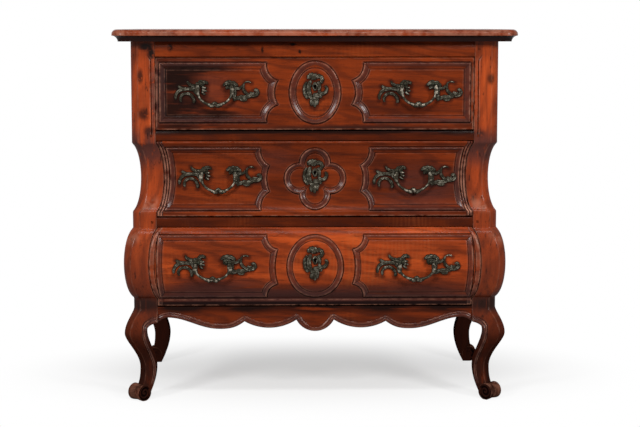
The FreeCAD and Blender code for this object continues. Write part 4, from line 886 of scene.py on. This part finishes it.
def side_apron():
    """Right lower side rail, its face on the bombe line, its lower edge arched."""
    t = np.linspace(0, 1, 60)
    low = LEG_TOP + SIDE_APRON_ARCH * 3 * t * (1 - t)
    z = low + (SIDE_APRON_TOP - low) * np.linspace(0, 1, 30)[:, None]
    y = FRONT_POST_BACK + (REAR_POST_FRONT - FRONT_POST_BACK) * t
    bm = sheet(HALF + np.where(z > 234, outward(z), 0), y, z)
    for vertex in drawn_rim(bm):
        vertex.co.x = HALF - SIDE_APRON_THICK
    cap(bm)
    return bm


def side_top_rail():
    bm = bmesh.new()
    block(bm, (HALF - 24, FRONT_POST_BACK - 2, 854), (HALF, REAR_POST_FRONT + 2, CARCASE_TOP), 0.8)
    return bm


# ---------- cast mounts
# Each leaf is its spine (x, z), its widths at the start, the middle and the end, its rise and its ripple.
LEFT_ROSE = [
    ([(-96, -39), (-95, -27), (-88, -17), (-76, -12.5), (-61, -12), (-47, -13.5), (-38, -10)],
     (2.2, 3.2, 2.4), 4.8, 0.25),
    ([(-83, -45), (-84, -33), (-77, -24.5), (-66, -23), (-56, -29), (-51, -39), (-53, -47)],
     (2.2, 2.7, 2.6), 4.4, 0.2),
    ([(-68, 8), (-63, 0), (-52, -5), (-40, -4), (-28, 0)], (1.2, 3.2, 2.6), 5.8, 0.3),
    ([(-91, -4), (-84, -9), (-75, -12)], (1.6, 2.8, 2.0), 4.4, 0.3),
    ([(-60, -12), (-52, -9), (-44, -9), (-37, -6)], (2.0, 3.2, 3.0), 5.0, 0.3),
    ([(-52, -15), (-45, -21), (-42, -29)], (2.4, 3.4, 1.4), 3.8, 0.3),
    ([(-36, -3), (-29, 4), (-21, 3), (-18, -1)], (3.0, 3.0, 1.4), 5.4, 0.3),
    ([(-33, -8), (-26, -9), (-20, -9)], (2.8, 2.6, 1.2), 4.6, 0.0),
    ([(-33, -13), (-26, -16), (-19, -17)], (2.6, 2.4, 1.1), 4.4, 0.0),
    ([(-33, -18), (-28, -23), (-22, -26)], (2.4, 2.2, 1.0), 3.8, 0.0),
]
RIGHT_ROSE = [
    ([(20, -5), (26, 1), (36, 3), (47, 1), (56, -7)], (1.6, 3.8, 2.6), 5.8, 0.3),
    ([(25, -11), (31, -8), (39, -7), (47, -9)], (1.8, 3.0, 2.4), 4.8, 0.2),
    ([(44, -8), (54, -11), (62, -9), (67, -3)], (2.6, 2.6, 1.6), 4.2, 0.2),
    ([(73, 5), (69, -4), (70, -14), (76, -22), (86, -28), (97, -28), (104, -21), (101, -15), (94, -15)],
     (1.6, 3.0, 3.0), 5.0, 0.25),
    ([(73, 4), (81, 6), (89, 3)], (1.2, 1.5, 0.8), 3.0, 0.0),
    ([(84, -20), (91, -23), (97, -20)], (1.8, 2.4, 1.2), 3.6, 0.2),
    ([(44, -40), (52, -35), (64, -32), (77, -32), (88, -28)], (2.2, 3.6, 2.8), 4.4, 0.35),
    ([(60, -36), (69, -38.5), (79, -38)], (1.8, 2.8, 1.4), 3.8, 0.3),
    ([(46, -8), (48, -18), (47, -29), (44, -38)], (2.6, 3.0, 2.4), 3.8, 0.3),
]
PLATE = [
    ([(-19, 15), (-25, 6), (-26.5, -6), (-24, -18), (-16, -28)], (1.6, 2.6, 2.6), 4.2, 0.2),
    ([(-10, 18), (-14, 8), (-16, -4), (-14, -16), (-8, -27)], (2.6, 4.4, 3.4), 5.0, 0.25),
    ([(-16, 20), (-14, 27), (-7, 31), (0, 29)], (2.6, 4.0, 2.4), 4.8, 0.4),
    ([(-4, 18), (-3, 26), (3, 35)], (4.0, 4.4, 1.4), 5.2, 0.3),
    ([(3, 22), (8, 28), (15, 25), (17, 17), (12, 10)], (3.0, 3.4, 2.8), 4.8, 0.3),
    ([(6, 15), (10, 9), (11, 0), (9, -9)], (2.8, 2.8, 2.6), 4.4, 0.2),
    ([(8, -6), (14, -14), (22, -14), (28, -7), (28, 1), (23, 2)], (2.6, 3.0, 1.8), 4.8, 0.2),
    ([(-6, -18), (2, -19), (10, -20), (17, -25)], (3.4, 4.4, 1.8), 4.6, 0.35),
    ([(-12, -24), (-4, -28), (4, -29), (11, -31)], (2.6, 4.0, 1.8), 4.4, 0.3),
    ([(-9, -30), (-9, -38), (-7, -45)], (3.0, 3.0, 1.6), 4.2, 0.2),
    ([(-2, -30), (-1, -40), (-1, -49)], (3.2, 3.2, 1.6), 4.6, 0.2),
    ([(4, -31), (5, -37), (5, -43)], (2.6, 2.6, 1.4), 4.0, 0.2),
]


def stroke(bm, points, widths, rise, base, under=0.8, ripple=0.0, ripples=5, groove=0.0):
    """Cast leaf or scroll: a rounded bar along a curve in the (x, z) plane, `rise` proud of base(z)."""
    spine = flowing(points, 7)
    share = np.linspace(0, 1, len(spine))
    w0, w1, w2 = (LEAF_BREADTH * w for w in widths)
    width = w0 * (1 - share) * (1 - 2 * share) + 4 * w1 * share * (1 - share) + w2 * share * (2 * share - 1)
    end_round = np.sqrt(np.clip(1 - np.abs(2 * share - 1) ** 9, 0, 1))
    width = np.maximum(width, 0.4) * end_round
    width = width * (1 + ripple * np.abs(np.sin(math.pi * ripples * share)) - ripple / 2)
    tangent = np.gradient(spine, axis=0)
    tangent /= np.linalg.norm(tangent, axis=1)[:, None] + 1e-9
    angle = np.linspace(0, 2 * math.pi, 17)[None, :]
    across, lift = np.cos(angle), np.maximum(np.sin(angle), 0)
    cut = 1 - groove * line_at(across, 0, 0.28)
    width, end_round = width[:, None], end_round[:, None]
    up = rise * (0.45 + 0.55 * width / max(w0, w1, w2)) * end_round * lift * cut
    up = up + under * end_round * np.minimum(np.sin(angle), 0)
    x = spine[:, :1] - tangent[:, 1:] * width * across
    z = spine[:, 1:] + tangent[:, :1] * width * across
    # Wear with painted highlight along the top of each leaf; patina with painted shade low on its flanks.
    join_closed(bm, sheet(x, base(z) - up, z, crest=(lift * cut) ** 5, recess=np.clip(1 - 2.2 * lift, 0, 1)))


def foliage(bm, leaves, x, z):
    for points, widths, rise, ripple in leaves:
        stroke(bm, np.array(points) + (x, z), widths, rise, on_front, ripple=ripple, groove=0.35 if ripple else 0)


def roses(d):
    bm = bmesh.new()
    for pull in d.pulls:
        for side, leaves in ((-1, LEFT_ROSE), (1, RIGHT_ROSE)):
            foliage(bm, leaves, pull, d.pivot_z + d.rose_lift)
            turned(bm, [(0.0, 4.6), (2.5, 4.5), (4.2, 3.9), (5.6, 3.2), (6.4, 4.0), (7.6, 3.9), (8.8, 2.4),
                        (9.3, 0.6), (9.3, -0.8), (0.0, -0.8)],
                   (pull + side * EYE_FROM_PULL, on_front(d.pivot_z), d.pivot_z), (0, -1, 0), 28)
    weld(bm)
    return bm


def keyhole_plate(d):
    """Leafy plate with a rim round the keyhole."""
    bm = bmesh.new()
    foliage(bm, PLATE, 0, d.keyhole)
    turn = np.linspace(0, 2 * math.pi, 49)[None, :]
    radius = np.array([3.9, 4.0, 4.6, 5.6, 7.2, 8.0, 8.0, 3.9, 3.9])[:, None]
    rise = np.array([-0.8, 2.0, 2.6, 2.4, 1.4, 0.4, -0.8, -0.8, -0.8])[:, None]
    slot = np.clip(1 - (radius - 3.9) / 4.1, 0, 1)
    below = np.clip(-np.sin(turn), 0, 1)
    stretch = 1 + 1.05 * slot * below ** 2 + 0.35 * (1 - slot) * np.abs(np.sin(turn))
    x = radius * np.cos(turn) * (1 - 0.30 * slot * below)
    z = d.keyhole + 3.0 + radius * np.sin(turn) * stretch
    # Wear with painted highlight on the top of the rim.
    join_closed(bm, sheet(x, on_front(z) - rise, z, crest=0.4 * np.clip(rise / 2.6, 0, 1) ** 4))
    return bm


def pull_bolts(d):
    """Eye bolts through roses and front, each held by a square nut."""
    bm = bmesh.new()
    for x in [pull + side * EYE_FROM_PULL for pull in d.pulls for side in (-1, 1)]:
        turned(bm, [(1.78, -2.5), (4.7, -2.5), (5.3, -1.7), (5.5, 0), (5.3, 1.7), (4.7, 2.5), (1.78, 2.5)],
               (x, d.pivot_y, d.pivot_z), (1, 0, 0), 24, ring=True)
        block(bm, (x - 2.5, d.pivot_y + 3.6, d.pivot_z - 2.5), (x + 2.5, d.back + 7, d.pivot_z + 2.5), 0.5)
        block(bm, (x - 6.5, d.back, d.pivot_z - 6.5), (x + 6.5, d.back + 4, d.pivot_z + 6.5), 0.7)
    weld(bm)
    return bm


def bail(d, pull):
    """Drop handle: two arms, a swelling bow and a leafy knop, hinged on two pins."""
    bm = bmesh.new()

    def rod(points, *shape):
        stroke(bm, np.array(points) + (pull, d.pivot_z), *shape)

    def hung(z):
        return d.pivot_y + 0 * z

    fall = d.drop
    right = [(14, -0.97), (27, -0.86), (37, -0.66), (41, -0.43), (42, -0.21), (41, 0)]
    bow = [(-x, z) for x, z in right[::-1]] + [(0, -1)] + right
    rod([(x, z * fall) for x, z in bow], (2.2, 2.2, 2.2), 3.1, hung, 3.1)
    for side in (-1, 1):
        rod([(side * 41, -5), (side * 43, -14), (side * 42, -23), (side * 38, -30)], (2.0, 4.2, 1.4), 3.8, hung,
            3.0, 0.25)
        rod([(side * 42, -2), (side * 40, -10), (side * 37, -15)], (3.0, 3.0, 1.4), 3.6, hung, 3.0)
        rod([(side * 1, 0.5 - fall), (side * 9, -0.9 - fall), (side * 20, 3 - fall)], (3.2, 3.6, 1.8), 4.8, hung,
            4.2, 0.35, 3)
        centre = (pull + side * 42, d.pivot_y, d.pivot_z)
        turned(bm, [(0.0, -4.2), (3.4, -4.2), (4.1, -3.4), (4.2, 0), (4.1, 3.4), (3.4, 4.2), (0.0, 4.2)],
               centre, (1, 0, 0), 20)
        turned(bm, [(0.0, 0), (1.7, 0), (1.7, 11.0), (1.3, 11.5), (0.0, 11.5)], centre, (-side, 0, 0), 16)
    rod([(-6, 2 - fall), (0, 4 - fall), (6, 2 - fall)], (2.2, 3.4, 2.2), 5.2, hung, 4.4, 0.3, 3)
    weld(bm)
    return bm


# ---------- the chest
# Marks, and patches of painted shade and shadow, on the front of the chest: x, z, how far they reach along x and z,
# strength, paint.
FRONT_WOOD = {
    1: {"tone": 0.84, "ripple": 0.08, "stains_and_shade": [
        (-0.30, 0.765, 0.16, 0.13, 0.45, PURPLE_STAIN_AND_SHADE), (-0.345, 0.80, 0.095, 0.065, 1.0, BLACK_MARK_AND_SHADE),
        (-0.285, 0.826, 0.13, 0.024, 1.0, BLACK_MARK_AND_SHADE), (-0.33, 0.725, 0.12, 0.060, 0.95, BLACK_MARK_AND_SHADE),
        # Painted shadow under the left handle and painted shade along the lower edge; on the next line, painted
        # shade down the left end and along the lower edge.
        (-0.235, 0.712, 0.07, 0.026, 0.9, BLACK_MARK_AND_SHADE), (-0.30, 0.683, 0.17, 0.012, 0.9, BLACK_MARK_AND_SHADE),
        (-0.388, 0.765, 0.016, 0.12, 0.8, PURPLE_STAIN_AND_SHADE), (0.10, 0.679, 0.34, 0.013, 0.9, DEEP_SHADE)]},
    2: {"tone": 0.78, "ripple": 0.08, "stains_and_shade": [
        (-0.10, 0.60, 0.08, 0.05, 0.4, PURPLE_STAIN_AND_SHADE), (0.25, 0.53, 0.16, 0.09, 0.6, PURPLE_STAIN_AND_SHADE)]},
    # Painted shade over the lower belly: the foot share and the purple patches.
    3: {"tone": 1.5, "ripple": 0.3, "foot": (0.258, 0.335, 0.78), "stains_and_shade": [
        (-0.25, 0.27, 0.22, 0.06, 0.8, PURPLE_STAIN_AND_SHADE), (0.0, 0.262, 0.38, 0.04, 0.9, PURPLE_STAIN_AND_SHADE),
        (0.25, 0.262, 0.20, 0.06, 0.6, PURPLE_STAIN_AND_SHADE)]},
}
RAIL_WOOD = {
    "lower_rail": {"tone": 0.44},
    # Painted shadow of the top drawer along the top of this rail.
    "upper_rail": {"tone": 0.44, "stains_and_shade": [
        (x, 0.6735, 0.16, 0.015, 1.0, BLACK_MARK_AND_SHADE) for x in np.linspace(-0.36, 0.36, 7)]},
    "frieze_rail": {"tone": 1.05, "stains_and_shade": [
        (-0.128, 0.871, 0.005, 0.012, 1.0, BLACK_MARK_AND_SHADE), (-0.054, 0.884, 0.012, 0.006, 1.0, BLACK_MARK_AND_SHADE),
        (-0.037, 0.866, 0.005, 0.009, 1.0, BLACK_MARK_AND_SHADE), (-0.352, 0.876, 0.010, 0.014, 1.0, BLACK_MARK_AND_SHADE)]},
}
# Painted shadow of the bottom drawer along the top of the apron.
APRON_PAINTED_SHADOW = [(x, 0.237, 0.14, 0.026, 1.0, BLACK_MARK_AND_SHADE) for x in (-0.33, -0.165, 0.0, 0.165, 0.33)]
POST_MARKS_AND_SHADE = {
    1: [(0.43, 0.80, 0.014, 0.02, 0.8, BLACK_MARK_AND_SHADE), (0.405, 0.665, 0.02, 0.015, 0.8, BLACK_MARK_AND_SHADE)],
    -1: [(-0.426, 0.806, 0.011, 0.028, 0.85, BLACK_MARK_AND_SHADE), (-0.419, 0.714, 0.020, 0.022, 0.85, BLACK_MARK_AND_SHADE),
         (-0.412, 0.878, 0.029, 0.016, 1.0, BLACK_MARK_AND_SHADE), (-0.398, 0.862, 0.014, 0.024, 1.0, BLACK_MARK_AND_SHADE),
         # On this line, the purple stroke is painted shade down the left bead.
         (-0.395, 0.76, 0.010, 0.12, 0.85, PURPLE_STAIN_AND_SHADE), (-0.405, 0.672, 0.02, 0.02, 0.9, BLACK_MARK_AND_SHADE)],
}
POST_WOOD = {"ripple": 0.05, "figure": 0.3, "shine": 0.0, "glaze": 0.17}
bronze, iron = rubbed_and_highlit_bronze(), lock_iron()
poplar = {"x": bare_wood("bare_poplar_across", "x", 3.0), "y": bare_wood("bare_poplar_deep", "y", 5.0),
          "z": bare_wood("bare_poplar_upright", "z", 7.0)}

for d in DRAWERS:
    n = f"drawer_{d.number}"
    wood = walnut(f"walnut_front_{d.number}", "x", 1.7 * d.number, **FRONT_WOOD[d.number])
    place(f"{n}_carved_front", front_panel(d), n, "walnut", wood, f"{n}_front", 50)
    place(f"{n}_leaf_roses", roses(d), n, "bronze", bronze, f"{n}_roses", 60)
    place(f"{n}_keyhole_plate", keyhole_plate(d), n, "bronze", bronze, f"{n}_escutcheon", 60)
    place(f"{n}_eye_bolts", pull_bolts(d), n, "bronze", bronze, f"{n}_pull_bolts", 30)
    for side, pull in zip(("left", "right"), d.pulls):
        place(f"{n}_drop_{side}", bail(d, pull), f"bail_{d.number}_{side}", "bronze", bronze,
              f"{n}_bail_{side}", 60)

for side, name in ((1, "right"), (-1, "left")):
    # Painted shade on the calf and foot and on the block under the belly, the real marks of the post, and painted
    # shade at the top of the hollow.
    marks_and_shade = [(side * 0.44, 0.02, 0.14, 0.20, 0.9, DEEP_SHADE), (side * 0.43, 0.243, 0.09, 0.030, 1.0, DEEP_SHADE),
             *POST_MARKS_AND_SHADE[side], (side * 0.43, 0.628, 0.13, 0.065, 0.9, PURPLE_STAIN_AND_SHADE)]
    # Painted shade: the front posts darker towards the floor.
    front_wood = walnut(f"walnut_{name}_post", "z", 4.0 + side, 1.45, marks_and_shade, foot=(0.10, 0.62, 0.78), flecks=0.7,
                        **POST_WOOD)
    # Painted shade: the rear posts darker towards the floor.
    rear_wood = walnut(f"walnut_{name}_rear_post", "z", 6.0 + side, foot=(0.19, 0.30, 0.92), **POST_WOOD)
    panel_wood = walnut(f"walnut_{name}_side", "z", 9.0 + side, 0.95)
    apron_wood = walnut(f"walnut_{name}_side_apron", "y", 11.0 + side)
    rail_wood = walnut(f"walnut_{name}_side_top_rail", "y", 11.0 + side)
    for make, piece, wood, node in (
            (front_post, f"{name}_front_cabriole_post", front_wood, f"front_{name}_post"),
            (rear_post, f"{name}_rear_cabriole_post", rear_wood, f"rear_{name}_post"),
            (side_panel, f"{name}_side_panel_shaped", panel_wood, f"{name}_side_panel"),
            (side_apron, f"{name}_side_apron_shaped", apron_wood, f"{name}_side_apron"),
            (side_top_rail, f"{name}_side_top_rail_shaped", rail_wood, f"{name}_side_top_rail")):
        place(piece, make() if side > 0 else mirrored(make()), "carcase", "walnut", wood, node, 40)

for name, (low, high) in RAIL_LEVELS.items():
    below = next(d for d in DRAWERS if 0 < low - d.top < 5)
    place(f"{name}_lapped", rail(low, high, below), "carcase", "walnut",
          walnut(f"walnut_{name}", "x", low / 90, **RAIL_WOOD[name]), name, 30)
place("scalloped_apron", apron(), "carcase", "walnut", walnut("walnut_apron", "x", 6.6, 0.78, APRON_PAINTED_SHADOW),
      "front_apron", 45)
place("moulded_top", top_board(), "carcase", "walnut", walnut("walnut_top", "x", 8.8, shine=0.085), "top_board", 30)

finishes = {"joint_pegs": walnut("walnut_pegs", "x", 2.0, 0.8)}
finishes.update({node: poplar["x"] for node in ("rear_top_rail", "rear_bottom_rail", "upper_dustboard",
                                                "lower_dustboard", "bottom_board")})
finishes.update(left_runners=poplar["y"], right_runners=poplar["y"], back_boards=poplar["z"])
for n in (1, 2, 3):
    finishes.update({f"drawer_{n}_{part}": wood for part, wood in (
        ("side_left", poplar["y"]), ("side_right", poplar["y"]), ("back", poplar["x"]), ("bottom", poplar["x"]),
        ("lock_case", iron), ("lock_bolt", iron))})
for node, finish in finishes.items():
    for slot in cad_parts[node].material_slots:
        slot.material = finish


# ---------- studio
def lamp(name, spot, aim, size, power):
    data = bpy.data.lights.new(name, "AREA")
    data.shape = "RECTANGLE"
    data.size, data.size_y = size
    data.energy = power
    obj = bpy.data.objects.new(name, data)
    obj.location = spot
    obj.rotation_euler = (Vector(aim) - Vector(spot)).to_track_quat("-Z", "Y").to_euler()
    bpy.context.scene.collection.objects.link(obj)


def studio():
    """Pale floor that glows but for the shadow under the chest, white surroundings, three lamps, a camera."""
    bm = bmesh.new()
    bmesh.ops.create_grid(bm, x_segments=1, y_segments=1, size=30)
    floor = as_object("floor", bm)
    f = material("pale_floor")
    seen = f.seen()
    far = 1 - f.spot((0, 0.08, 0), (0.90, 0.55, 1))
    matt = f.node("BsdfDiffuse", None, {"Color": f.mix(seen, (0.30, 0.29, 0.28), (0.9, 0.9, 0.9))})
    glow = f.node("Emission")
    blend = f.node("MixShader", None,
                   {0: seen * (far * 0.45 + 0.55), 1: matt.outputs[0], 2: glow.outputs[0]})
    f.node("OutputMaterial", None, {"Surface": blend.outputs[0]})
    floor.data.materials.append(f.owner)

    scene = bpy.context.scene
    scene.world = bpy.data.worlds.new("studio")
    air = Finish(scene.world)
    white = air.node("Background", None,
                     {"Color": (1.0, 1.0, 1.0), "Strength": air.span(air.seen(), 0, 1, 0.14, 1.0)})
    air.node("OutputWorld", None, {"Surface": white.outputs[0]})
    lamp("left_softbox", (-2.0, -2.7, 1.8), (0, -0.2, 0.55), (0.5, 0.7), 66)
    lamp("right_softbox", (2.0, -2.7, 1.8), (0, -0.2, 0.55), (0.5, 0.7), 62)
    lamp("overhead", (0.0, -2.0, 2.9), (0, -0.1, 0.5), (1.6, 0.4), 42)

    data = bpy.data.cameras.new("camera")
    data.sensor_fit, data.lens = "HORIZONTAL", 89.61
    scene.camera = bpy.data.objects.new("camera", data)
    scene.camera.location = (-0.0629, -4.1350, 0.9288)
    scene.camera.rotation_euler = (math.pi / 2 - 0.11730946, 0, -0.0192425)
    scene.collection.objects.link(scene.camera)
    scene.view_settings.view_transform = "Standard"


studio()
